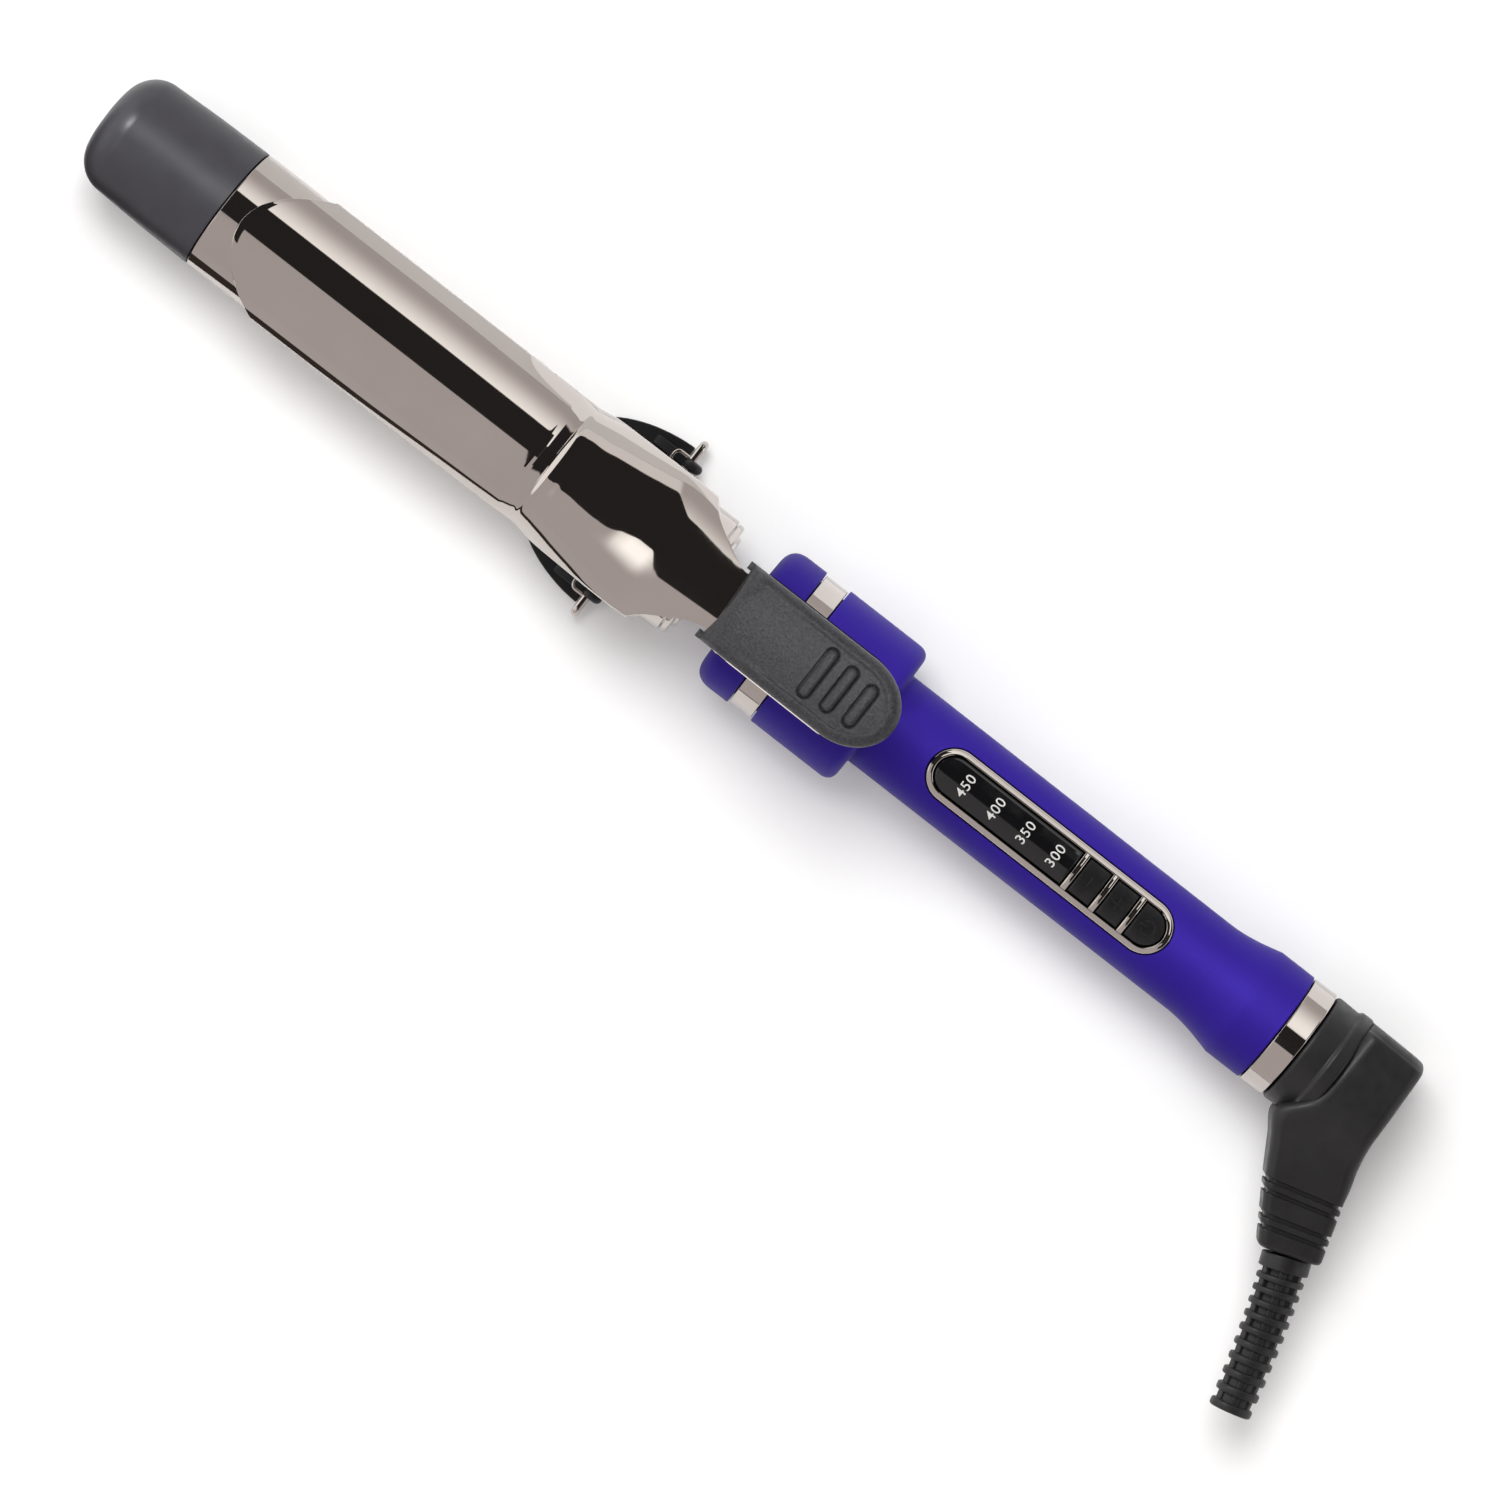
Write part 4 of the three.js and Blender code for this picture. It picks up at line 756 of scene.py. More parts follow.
def soften(piece, width, segments=2, angle=40):
    """Rounds a piece's sharp edges."""
    bevel = piece.modifiers.new("edges", "BEVEL")
    bevel.width = width * MM
    bevel.segments = segments
    bevel.limit_method = "ANGLE"
    bevel.angle_limit = math.radians(angle)
    bevel.harden_normals = True


def pad_base(station, across):
    """Underside of the pad, which follows the sheet below it."""
    _, crown, radius, _ = clamp_form(station)
    return AXIS_Z + crown + GAP - across ** 2 / (2 * radius)


# station of the middle, length across, of each grip ridge
PAD_RIDGES = [(209.6, 13.0), (215.7, 11.9), (221.8, 10.8)]
RIDGE_HALF = 1.3
RIDGE_HEIGHT = 0.35
GROOVE_DEPTH = 0.75                # of the groove round each ridge
GROOVE_OFFSET = 0.2
GROOVE_HALF = 0.24
PAD_HEIGHT = 3.5
PAD_EDGE = 1.1                     # radius of its upper edge
PAD_BOW = 1.1                      # how far its front edge bends inwards
BOW_LENGTH = 6
DISH_DEPTH = 0.45
DISH_RIM = (2.4, 3.3)              # distance in from the outline over which the dish starts
DISH_START = (190, 204)            # stations over which it starts
ROLL_DEPTH = 0.8
ROLL_WIDTH = 2.6
TAB_LENGTH = 1.0                   # of the two tabs at its front corners
TAB_WIDTH = 2.0
PAD_PLAN = Plan(PAD_START, PAD_END, PAD_HALF, 0, PAD_NOSE)

def pad_top(station, across):
    """Upper face of the pad: a rim that rolls off, a dished centre and three ridges in oval grooves."""
    inset = PAD_PLAN.inset(station, across)
    height = PAD_HEIGHT - DISH_DEPTH * smoothstep(inset, *DISH_RIM) * smoothstep(station, *DISH_START)
    height -= ROLL_DEPTH * (1 - smoothstep(inset, 0.0, ROLL_WIDTH)) ** 2
    for middle, length in PAD_RIDGES:
        along = max(abs(across) - (length / 2 - RIDGE_HALF), 0)
        reach = math.hypot(station - middle, along)
        if reach < RIDGE_HALF:
            height += RIDGE_HEIGHT * (1 - (reach / RIDGE_HALF) ** 4)
        height -= GROOVE_DEPTH * math.exp(-((reach - RIDGE_HALF - GROOVE_OFFSET) / GROOVE_HALF) ** 2)
    return pad_base(station, across) + height - edge_drop(inset, PAD_EDGE)

def pad_point(station, half, side, surface):
    """Point of the pad's skin on a surface, with side running from -1 to 1 across it."""
    across = half * (0.55 * side + 0.45 * math.sin(math.pi / 2 * side))
    fade = 1 - smoothstep(station, PAD_START, PAD_START + BOW_LENGTH)
    bow = PAD_BOW * (1 - (across / PAD_HALF) ** 2) * fade
    return (x(station + bow), across, surface(station, across))

def pad_tabs():
    """Small tabs that run on past the pad's front corners."""
    rest = pad_base(PAD_START, PAD_HALF)
    plan = Plan(PAD_START - TAB_LENGTH, PAD_START + 3, TAB_WIDTH / 2)
    verts, faces = pillow(plan, lambda s, y: rest + 1.9, lambda s, y: rest - 0.3, 0.5, 0.5, 12)
    middle = PAD_HALF - TAB_WIDTH / 2
    return [([(px, py + side * middle, pz) for px, py, pz in verts], faces) for side in (-1, 1)]

def thumb_pad():
    columns = 96
    sides = [2 * j / columns - 1 for j in range(columns + 1)]
    rings = []
    for station, half in PAD_PLAN.rows(0.28, 0.8, 64):
        ring = [pad_point(station, half, side, pad_top) for side in sides]
        ring += [pad_point(station, half, -side, pad_base) for side in sides]
        rings.append(ring)
    skin = merge(loft(rings), *pad_tabs())
    make("pad_cover", *skin, "pad", "clamp", ["thumb_pad"], slot="charcoal", sharp=50)

# ---------------------------------------------------------------- rest stand

STAND_LENGTH = 30                  # half axis of the plate's rounded outline along the tool
STAND_ARM_END = 154.2
STAND_BAR = 9
STAND_WINDOW_HALF = 14
STAND_FULLNESS = 0.85              # under 1 makes the outline fuller than an ellipse
STAND_EAR = (17.8, 20.3)           # across the tool, each side
STAND_BOSS_R = 2.45

def stand_outline():
    """Horseshoe in plan: a rounded front and two arms that reach back to the pivots."""
    centre = STAND_START + STAND_LENGTH
    rear = math.asin((centre - STAND_ARM_END) / STAND_LENGTH)
    outline = []
    for i in range(65):
        angle = math.pi / 2 + rear + (math.pi - 2 * rear) * i / 64
        across = math.copysign(abs(math.sin(angle)) ** STAND_FULLNESS, math.sin(angle))
        outline.append((centre + STAND_LENGTH * math.cos(angle), STAND_HALF * across))
    bend = STAND_START + STAND_BAR + STAND_WINDOW_HALF
    outline.append((STAND_ARM_END, -STAND_WINDOW_HALF))
    for i in range(33):
        angle = 1.5 * math.pi - math.pi * i / 32
        outline.append((bend + STAND_WINDOW_HALF * math.cos(angle), STAND_WINDOW_HALF * math.sin(angle)))
    outline.append((STAND_ARM_END, STAND_WINDOW_HALF))
    return outline

def stand_plate():
    outline = stand_outline()
    shells = [loft([[(x(s), y, z) for s, y in outline] for z in (0, STAND_THICKNESS)])]
    for side in (-1, 1):
        across = sorted(side * y for y in STAND_EAR)
        ear = [
            (145, 1.5), (STAND_ARM_END - 0.3, 1.5), (STAND_PIVOT - 0.6, STAND_PIVOT_Z - 2.2),
            (STAND_PIVOT, STAND_PIVOT_Z + 1.8), (154.6, STAND_PIVOT_Z + 1.2), (154.4, 3.6), (147, 3.0),
        ]
        shells.append(side_plate(ear, across))
        shells.append(cross_bar(STAND_PIVOT, STAND_PIVOT_Z, STAND_BOSS_R, across, 1.0))
    piece = make("stand_frame", *merge(*shells), "black", "stand", ["stand_plate"])
    soften(piece, 0.35, 3)

def stand_wires():
    for name, side in (("left", 1), ("right", -1)):
        points = [(151.2, 17.9), (151.2, 19.3), (151.9, 20.2), (153.4, 20.3), (154.8, 20.3)]
        thin = [(x(s), y * side, STAND_PIVOT_Z) for s, y in points]
        rod = [(x(155.6), y * side, STAND_PIVOT_Z - drop)
               for y, drop in ((19.9, 0), (22.0, 0), (24.0, 0.1), (24.6, 1.0), (24.7, 2.6))]
        shells = [tube(thin, 0.45, 40, 12), tube(rod, 1.05, 40)]
        make(f"stand_hook_{name}", *merge(*shells), "plated", "stand", [f"stand_wire_{name}"])


# ---------------------------------------------------------------- collar and handle

def collar():
    sleeve_r = BAND_R - SLEEVE_STEP
    outline = rounded([
        (COLLAR_START, NECK_R + GAP, 0.4), (COLLAR_START, COLLAR_R, 6), (BAND_START - GAP, COLLAR_R, 0.35),
        (BAND_START - GAP, sleeve_r, 0), (SLEEVE_END, sleeve_r, 0),
        (SLEEVE_END, sleeve_r - SLEEVE_WALL, 0), (COLLAR_FACE_END, sleeve_r - SLEEVE_WALL, 0),
        (COLLAR_FACE_END, NECK_R + GAP, 0),
    ], 12)
    make("collar_shell", *turned(outline, 144), "violet", "iron", ["collar_front"])
    band = rounded([(BAND_START, sleeve_r + GAP, 0), (BAND_START, BAND_R, 0.3),
                    (BAND_END, BAND_R, 0.3), (BAND_END, sleeve_r + GAP, 0)])
    make("band_hoop", *turned(band, 144), "plated", "iron", ["collar_band"])


COLLAR_END = 227.2
GRIP_R = 12.3
FLARE_START, FLARE_END = 321.0, 334.3


def handle_outline():
    """Half section of the handle, from the band back to the rear ring."""
    outer = [(HANDLE_START, COLLAR_R, 0.35), (COLLAR_END, COLLAR_R, 4.2), (COLLAR_END, GRIP_R + 0.1, 0.5)]
    points = rounded([(HANDLE_START, COLLAR_BORE_R, 0)] + outer + [(FLARE_START - 1, GRIP_R, 0)], 10)
    flare = []
    for i in range(17):
        share = i / 16
        rise = (1 - math.cos(math.pi / 2 * share)) * (RING_R - GRIP_R)
        flare.append((FLARE_START + (FLARE_END - FLARE_START) * share, GRIP_R + rise))
    end = rounded([(FLARE_END + 1, RING_R, 0), (HANDLE_END, RING_R, 0.35), (HANDLE_END, FLARE_BORE_R, 0)], 5)
    bore = [(FLARE_END, FLARE_BORE_R), (FLARE_START, GRIP_BORE_R)]
    bore += [(COLLAR_BORE_END, GRIP_BORE_R), (COLLAR_BORE_END, COLLAR_BORE_R)]
    return points + flare + end + bore


def handle():
    split = 0.5
    outline = handle_outline()
    top_half = turned(outline, 144, (split, 180 - split))
    under_half = turned(outline, 144, (180 + split, 360 - split))
    upper = make("handle_top_shell", *top_half, "violet", "iron", ["handle_upper"])
    lower = make("handle_under_shell", *under_half, "violet", "iron", ["handle_lower"])
    open_half = PANEL_HALF + GAP
    opening = Plan(PANEL_START - GAP, PANEL_END + GAP, open_half, open_half, open_half)
    cut(upper, [pillow(opening, lambda s, y: AXIS_Z + 20, lambda s, y: AXIS_Z + 6, 0, 4, 12)], "panel_opening")
    wells = []
    for node in ("handle_screw_front", "handle_screw_rear"):
        middle = sum(span(node)[:2]) / 2
        wells.append(upright(middle, 0, COUNTERBORE_R, -1, COUNTERBORE_TOP))
    cut(lower, wells, "screw_wells")
    ring = rounded([(RING_START, RING_BORE_R, 0), (RING_START, RING_R, 0.3),
                    (RING_END, RING_R, 0.4), (RING_END, RING_BORE_R, 0)])
    make("ring_hoop", *turned(ring, 144), "plated", "iron", ["rear_ring"])


def upright(station, across, radius, low, high, sides=40):
    """An upright round bar."""
    turns = [2 * math.pi * i / sides for i in range(sides)]
    rings = []
    for z in (low, high):
        rings.append([(x(station) + radius * math.cos(turn), across + radius * math.sin(turn), z) for turn in turns])
    return loft(rings)


# ---------------------------------------------------------------- control panel

PANEL_RIM = 1.6
WINDOW_END = 283.6
KEYS = [("minus", 285.2, 291.8), ("plus", 293.4, 300.0), ("power", 301.6, PANEL_END - PANEL_RIM)]


def rim_section(width, low, high, edge=0.45):
    """Closed section of a rim with a rounded top, as (offset, radius about the tool's axis)."""
    return rounded([(0, low, 0), (0, high, edge), (width, high, edge), (width, low, 0)], 4)


def bezel():
    section = rim_section(PANEL_RIM, PANEL_BASE_R, PANEL_TOP_R)
    route = []
    centres = ((PANEL_START + PANEL_HALF, 90), (PANEL_END - PANEL_HALF, 270))
    for middle, first in centres:
        for i in range(41):
            angle = math.radians(first + 180 * i / 40)
            route.append((middle, math.cos(angle), math.sin(angle)))
    rings = []
    for middle, along, across in route:
        ring = []
        for offset, radius in section:
            y = (PANEL_HALF - offset) * across
            place = x(middle + (PANEL_HALF - offset) * along)
            ring.append((place, y, AXIS_Z + math.sqrt(radius ** 2 - y ** 2)))
        rings.append(ring)
    shells = [loft(rings, closed=True)]
    reach = PANEL_HALF - PANEL_RIM * 0.7
    starts = [WINDOW_END] + [end for _, _, end in KEYS[:2]]
    for start in starts:
        bar = []
        for i in range(25):
            y = -reach + 2 * reach * i / 24
            bar.append([(x(start + offset), y, AXIS_Z + math.sqrt(radius ** 2 - y ** 2))
                        for offset, radius in rim_section(PANEL_RIM, PANEL_BASE_R, PANEL_TOP_R - 0.12)])
        shells.append(loft(bar))
    make("panel_frame", *merge(*shells), "plated", "iron", ["panel_bezel"])


def window():
    half = PANEL_HALF - PANEL_RIM
    plan = Plan(PANEL_START + PANEL_RIM + GAP, WINDOW_END - GAP, half - GAP, half - GAP, 0)
    lens = pillow(plan, round_top(WINDOW_TOP_R), round_top(PANEL_BASE_R + 0.4), 0.5, 1.5)
    make("window_lens", *lens, "window", "iron", ["display_window"])


def keys():
    half = PANEL_HALF - PANEL_RIM
    for name, start, end in KEYS:
        nose = half - GAP if name == "power" else 0
        plan = Plan(start + GAP, end - GAP, half - GAP, 0, nose)
        middle = (start + end) / 2
        shells = [pillow(plan, dished(middle), round_top(PANEL_BASE_R), 0.55, 0.4)]
        shells += icon(name, middle)
        stem_top = AXIS_Z + PANEL_BASE_R + 0.4
        shells.append(upright(middle, 0, 1.5, box_mm(f"key_{name}")[0][2], stem_top))
        make(f"key_cap_{name}", *merge(*shells), "key", f"key_{name}", [f"key_{name}"], slot="black")


def dished(middle):
    """Top of a key: round with the handle, with a shallow finger dish."""
    top = round_top(KEY_TOP_R - 0.05)
    return lambda s, y: top(s, y) - 0.22 * math.exp(-((s - middle) ** 2 / 4.5 + y ** 2 / 7))


def stroke(points, radius=0.24):
    """Raised line on a key, through (station, across) points."""
    top = round_top(KEY_TOP_R - 0.2)
    return tube([(x(s), y, top(s, y)) for s, y in points], radius, max(8, 4 * len(points)), 10)


def icon(name, middle):
    if name == "power":
        arc = []
        for i in range(15):
            angle = math.radians(35 + 290 * i / 14)
            arc.append((middle - 1.6 * math.cos(angle), 1.6 * math.sin(angle)))
        return [stroke(arc), stroke([(middle - 2.1, 0), (middle - 0.4, 0)])]
    shells = [stroke([(middle, -1.5), (middle, 1.5)])]
    if name == "plus":
        shells.append(stroke([(middle - 1.5, 0), (middle + 1.5, 0)]))
    return shells


def level_numbers():
    """Heat levels printed on the window, tops towards the tip."""
    for number, station in zip((450, 400, 350, 300), LEVEL_STATIONS):
        curve = bpy.data.curves.new(f"level_{number}", "FONT")
        curve.body = str(number)
        curve.size = 3.5 * MM
        curve.align_x = "CENTER"
        curve.align_y = "CENTER"
        curve.extrude = 0.02 * MM
        curve.offset = 0.015 * MM
        curve.space_character = 1.12
        text = bpy.data.objects.new(f"level_text_{number}", curve)
        bpy.context.collection.objects.link(text)
        text.matrix_world = Matrix([[0, -1, 0, x(station) * MM], [1, 0, 0, 0], [0, 0, 1, 0], [0, 0, 0, 1]])
        graph = bpy.context.evaluated_depsgraph_get()
        mesh = bpy.data.meshes.new_from_object(text.evaluated_get(graph))
        mesh.transform(text.matrix_world)
        bpy.data.objects.remove(text)
        top = round_top(WINDOW_TOP_R)
        for vertex in mesh.vertices:
            vertex.co.z += top(0, vertex.co.y / MM) * MM + 0.01 * MM
        mesh.materials.clear()
        mesh.materials.append(FINISHES["ink"].material)
        print_piece = bpy.data.objects.new(f"level_number_{number}", mesh)
        bpy.context.collection.objects.link(print_piece)
        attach(print_piece, "iron")


# ---------------------------------------------------------------- swivel elbow and strain relief

def rounded_rectangle(left, right, half_height, radius, inset=0.0, flat=5, turns=8):
    """Ring standing on the line between two points of (station, across), with round corners."""
    a, b = Vector(left), Vector(right)
    width = (b - a).length
    unit = (b - a) / width
    low, high, tall = inset, width - inset, half_height - inset
    radius = min(radius, (high - low) / 2 - 0.01, tall - 0.01)
    corners = [(high - radius, tall - radius, 0), (low + radius, tall - radius, 90),
               (low + radius, radius - tall, 180), (high - radius, radius - tall, 270)]
    outline = []
    for along, height, first in corners:
        for i in range(turns + 1):
            angle = math.radians(first + 90 * i / turns)
            outline.append((along + radius * math.cos(angle), height + radius * math.sin(angle)))
    ring = []
    for i, (along, height) in enumerate(outline):
        point = a + unit * along
        ring.append((x(point.x), point.y, AXIS_Z + height))
        if (i + 1) % (turns + 1) == 0:
            next_along, next_height = outline[(i + 1) % len(outline)]
            for k in range(1, flat):
                t = k / flat
                point = a + unit * (along + (next_along - along) * t)
                ring.append((x(point.x), point.y, AXIS_Z + height + (next_height - height) * t))
    return ring


# left point, right point, half height and corner radius of the elbow's body, from its far side to the outlet
ELBOW_FORM = [
    [361.2, 14.6, 373.4, 14.4, 8.0, 4.0],
    [360.9, 14.5, 375.2, 14.2, 10.4, 4.2],
    [360.6, 13.2, 376.2, 12.9, 12.6, 3.6],
    [360.4, 11.0, 376.5, 10.4, 13.8, 3.0],
    [360.4, 0.0, 376.9, 0.0, 14.3, 2.6],
    [359.4, -7.5, 377.3, -8.6, 13.6, 2.8],
    [354.6, -14.6, 378.5, -14.2, 11.4, 3.2],
    [358.0, -21.0, 380.0, -18.9, 10.2, 2.8],
    [361.8, -27.5, 380.9, -22.5, 9.2, 2.4],
]


# left point, right point and half height at the outlet's start and end
OUTLET_FROM = [361.8, -27.5, 380.9, -22.5, 9.2]
OUTLET_TO = [371.2, -42.5, 385.8, -37.6, 6.9]
OUTLET_CORNER = 2.4
# shares of the way along the outlet
OUTLET_GROOVES = [(0.06, 0.13), (0.21, 0.28), (0.53, 0.6), (0.68, 0.75)]
# share past a groove's edge, and depth in millimetres, here and at the outlet's end
GROOVE_SECTION = [(-0.012, 0), (0, 0.12), (0.006, 0.8)]
OUTLET_END = [(0.93, 0), (0.97, 0.25), (0.99, 0.7), (1.0, 1.3)]
SPINDLE_START = 323
SPINDLE_R = 4.8
SPINDLE_BORE_R = 3
SPIGOT_START = 341
SWIVEL_SPIGOT_R = 9.2
HUB_END = 364

def elbow_sections():
    """Rings of the elbow's body, with smooth rows between those of ELBOW_FORM."""
    per_span = 8
    last = len(ELBOW_FORM) - 1
    rings = []
    for i in range(last):
        rows = [ELBOW_FORM[place] for place in (max(i - 1, 0), i, i + 1, min(i + 2, last))]
        for k in range(per_span):
            v = [between(*column, k / per_span) for column in zip(*rows)]
            rings.append(rounded_rectangle((v[0], v[1]), (v[2], v[3]), v[4], v[5]))
    return rings

def outlet_sections():
    """Rings of the outlet, which narrows towards its end and has four grooves round it."""
    places = [(0, 0)]
    for start, end in OUTLET_GROOVES:
        places += [(start + offset, depth) for offset, depth in GROOVE_SECTION]
        places += [(end - offset, depth) for offset, depth in GROOVE_SECTION[::-1]]
    rings = []
    for share, inset in places + OUTLET_END:
        v = [low + (high - low) * share for low, high in zip(OUTLET_FROM, OUTLET_TO)]
        rings.append(rounded_rectangle((v[0], v[1]), (v[2], v[3]), v[4], OUTLET_CORNER, inset))
    return rings

def elbow():
    body = loft(elbow_sections() + outlet_sections())
    face = RING_END + 0.4
    hub = rounded([
        (SPINDLE_START, SPINDLE_BORE_R, 0), (SPINDLE_START, SPINDLE_R, 0.2), (SPIGOT_START, SPINDLE_R, 0),
        (SPIGOT_START, SWIVEL_SPIGOT_R, 0.2), (face, SWIVEL_SPIGOT_R, 0),
        (face, 14.5, 1.2), (357.0, 14.3, 0.8), (357.7, 15.05, 1.1), (360.9, 15.05, 1.1),
        (361.3, 13.4, 0.5), (HUB_END, 11, 0), (HUB_END, SPINDLE_BORE_R, 0),
    ], 6)
    make("elbow_cover", *merge(body, turned(hub, 120)), "black", "swivel", ["swivel_elbow"], sharp=50)

# start, bend point and end of the strain relief in plan, as (station, across)
RELIEF_PATH = [(378.75, -40.75), (384.7, -55.2), (390.3, -77.2)]
RELIEF_RIBS = 10
RELIEF_START = -0.0135             # share of the sleeve's length
RELIEF_NECK = 0.1                  # share of the sleeve before its first rib
RELIEF_NECK_R = 6.0
RELIEF_CORE_R = 3.95
RELIEF_BORE_R = 3.6
EDGE_SHARE = 0.0265                # share of the sleeve for each millimetre of a rib's rounded edge
WEB_TURNS = (90, 210, 330, 30, 150, 270)

def rib_r(share):
    """Radius of the ribs, which taper along the sleeve."""
    return 5.85 - 0.7 * share

def relief_place(share):
    """Centre of the sleeve at a share of its length, and the direction across it in plan."""
    a, b, c = (Vector(point) for point in RELIEF_PATH)
    centre = (1 - share) ** 2 * a + 2 * share * (1 - share) * b + share ** 2 * c
    tangent = (2 * (1 - share) * (b - a) + 2 * share * (c - b)).normalized()
    return Vector((x(centre.x), centre.y, AXIS_Z)), Vector((-tangent.y, tangent.x, 0))

def relief_ring(share, radius, sides=48):
    middle, across = relief_place(share)
    return circle(middle, across, UP, radius, sides)

def relief_hoop(start, end, inner, outer, edge):
    """Hoop round the sleeve between two shares of its length, with rounded outer edges."""
    e = edge * EDGE_SHARE
    section = [(start, inner), (start, outer - edge), (start + e * 0.3, outer - edge * 0.3)]
    section += [(start + e, outer), (end - e, outer)]
    section += [(end - e * 0.3, outer - edge * 0.3), (end, outer - edge), (end, inner)]
    return loft([relief_ring(s, r) for s, r in section], closed=True)

def relief_core():
    """Tube under the ribs, open for the cord."""
    core = [relief_ring(0.05 + 0.94 * i / 30, RELIEF_CORE_R) for i in range(31)]
    core += [relief_ring(0.99 - 0.94 * i / 30, RELIEF_BORE_R) for i in range(31)]
    return loft(core, closed=True)

def relief_web(turn, start, end):
    """Straight web along the sleeve that joins its ribs."""
    inner = RELIEF_CORE_R - 0.2
    rings = []
    for i in range(31):
        share = start + (end - start) * i / 30
        middle, across = relief_place(share)
        out = math.cos(turn) * across + math.sin(turn) * UP
        side = -math.sin(turn) * across + math.cos(turn) * UP
        top = rib_r(share) - 0.8
        section = [(inner, -0.95), (top - 0.2, -0.85), (top, -0.6)]
        section += [(r, -w) for r, w in section[::-1]]
        rings.append([tuple(middle + out * r + side * w) for r, w in section])
    return loft(rings)

def relief():
    pitch = (1 - RELIEF_NECK) / RELIEF_RIBS
    shells = [relief_hoop(RELIEF_START, RELIEF_NECK, RELIEF_BORE_R + 0.1, RELIEF_NECK_R, 0.4)]
    for i in range(1, RELIEF_RIBS + 1):
        start, end = RELIEF_NECK + pitch * (i - 0.5), RELIEF_NECK + pitch * i
        shells.append(relief_hoop(start, end, RELIEF_CORE_R - 0.2, rib_r(end), 0.45))
    shells.append(relief_core())
    for turn in WEB_TURNS:
        shells.append(relief_web(math.radians(turn), RELIEF_NECK - 0.03, 0.985))
    make("relief_sleeve", *merge(*shells), "black", "swivel", ["strain_relief"], sharp=50)

# ---------------------------------------------------------------- CAD pieces that stay as they are

def finish_kept_nodes():
    """Gives every CAD node that still shows its procedural finish and smooth round faces."""
    slots = {item["node"]: item["material_slot"] for item in frame["record"]["subparts"]}
    for name, node in frame["nodes"].items():
        if node.hide_render:
            continue
        node.data.materials.clear()
        node.data.materials.append(FINISHES[slots[name]].material)
        smooth(node.data, 32)
        soften(node, 0.08, 2)


# ---------------------------------------------------------------- stage

def add_floor():
    mesh = bpy.data.meshes.new("floor")
    reach = 6
    corners = [(-reach, -reach), (reach, -reach), (reach, reach), (-reach, reach)]
    mesh.from_pydata([(*corner, 0) for corner in corners], [], [(0, 1, 2, 3)])
    mesh.materials.append(FINISHES["floor"].material)
    floor = bpy.data.objects.new("floor", mesh)
    bpy.context.collection.objects.link(floor)


def card(name, corners, height, color):
    """Flat card that only mirror-like surfaces see, with its corners in plan, in metres."""
    mesh = bpy.data.meshes.new(name)
    mesh.from_pydata([(*corner, height) for corner in corners], [], [tuple(range(len(corners)))])
    material = bpy.data.materials.new(name)
    material.use_nodes = True
    tree = material.node_tree
    tree.nodes.clear()
    glow = tree.nodes.new("ShaderNodeEmission")
    glow.inputs["Color"].default_value = (*color, 1)
    glow.inputs["Strength"].default_value = 1
    out = tree.nodes.new("ShaderNodeOutputMaterial")
    tree.links.new(glow.outputs[0], out.inputs["Surface"])
    mesh.materials.append(material)
    board = bpy.data.objects.new(name, mesh)
    bpy.context.collection.objects.link(board)
    board.visible_camera = False
    board.visible_diffuse = False
    board.visible_shadow = False
    board.visible_transmission = False

EDGE_MIDDLE = -0.093               # place along the tool, in metres, where both edges below are measured
BOARD_EDGE = (-0.079, -0.25)       # place across the tool there, and slope, of the grey board's near edge
PAPER_EDGE = (-0.037, -0.44)       # the same for the white paper's edge
EDGE_PLACES = (-0.3, -0.02, 0.085, 0.6)

def add_cards():
    """What the plating mirrors low down: a grey board, the paper's dark edge and white paper behind."""
    reach, far = 3.0, -5.0

    def board_edge(along):
        return BOARD_EDGE[0] + BOARD_EDGE[1] * (along - EDGE_MIDDLE)

    def paper_edge(along):
        return max(PAPER_EDGE[0] + PAPER_EDGE[1] * (along - EDGE_MIDDLE), board_edge(along) + 0.004)

    board = [(-reach, far), (reach, far), (reach, board_edge(reach)), (-reach, board_edge(-reach))]
    card("front_board", board, 0.001, (0.684, 0.64, 0.647))
    dark = [(s, board_edge(s)) for s in EDGE_PLACES] + [(s, paper_edge(s)) for s in EDGE_PLACES[::-1]]
    card("paper_edge", dark, 0.0015, (0.05, 0.04, 0.035))
    paper = [(-reach, 0.03), (reach, 0.03), (reach, reach), (-reach, reach)]
    card("back_paper", paper, 0.001, (0.93, 0.93, 0.93))
    bright = [(-0.02, 0.032), (reach, 0.032), (reach, reach), (0.02, reach)]
    card("bright_paper", bright, 0.002, (1.3, 1.3, 1.32))

def add_light(name, direction, distance, size, watts, mirrored=False, receivers=None, shadow=True):
    data = bpy.data.lights.new(name, "AREA")
    data.shape = "SQUARE"
    data.size = size
    data.energy = watts
    data.use_shadow = shadow
    light = bpy.data.objects.new(name, data)
    bpy.context.collection.objects.link(light)
    place = Vector(direction).normalized() * distance + CAMERA_TARGET
    light.location = place
    light.rotation_euler = (CAMERA_TARGET - place).to_track_quat("-Z", "Y").to_euler()
    light.visible_glossy = mirrored
    light.visible_camera = False
    if receivers:
        collection = bpy.data.collections.new(name)
        for receiver in receivers:
            collection.objects.link(bpy.data.objects[receiver])
        light.light_linking.receiver_collection = collection


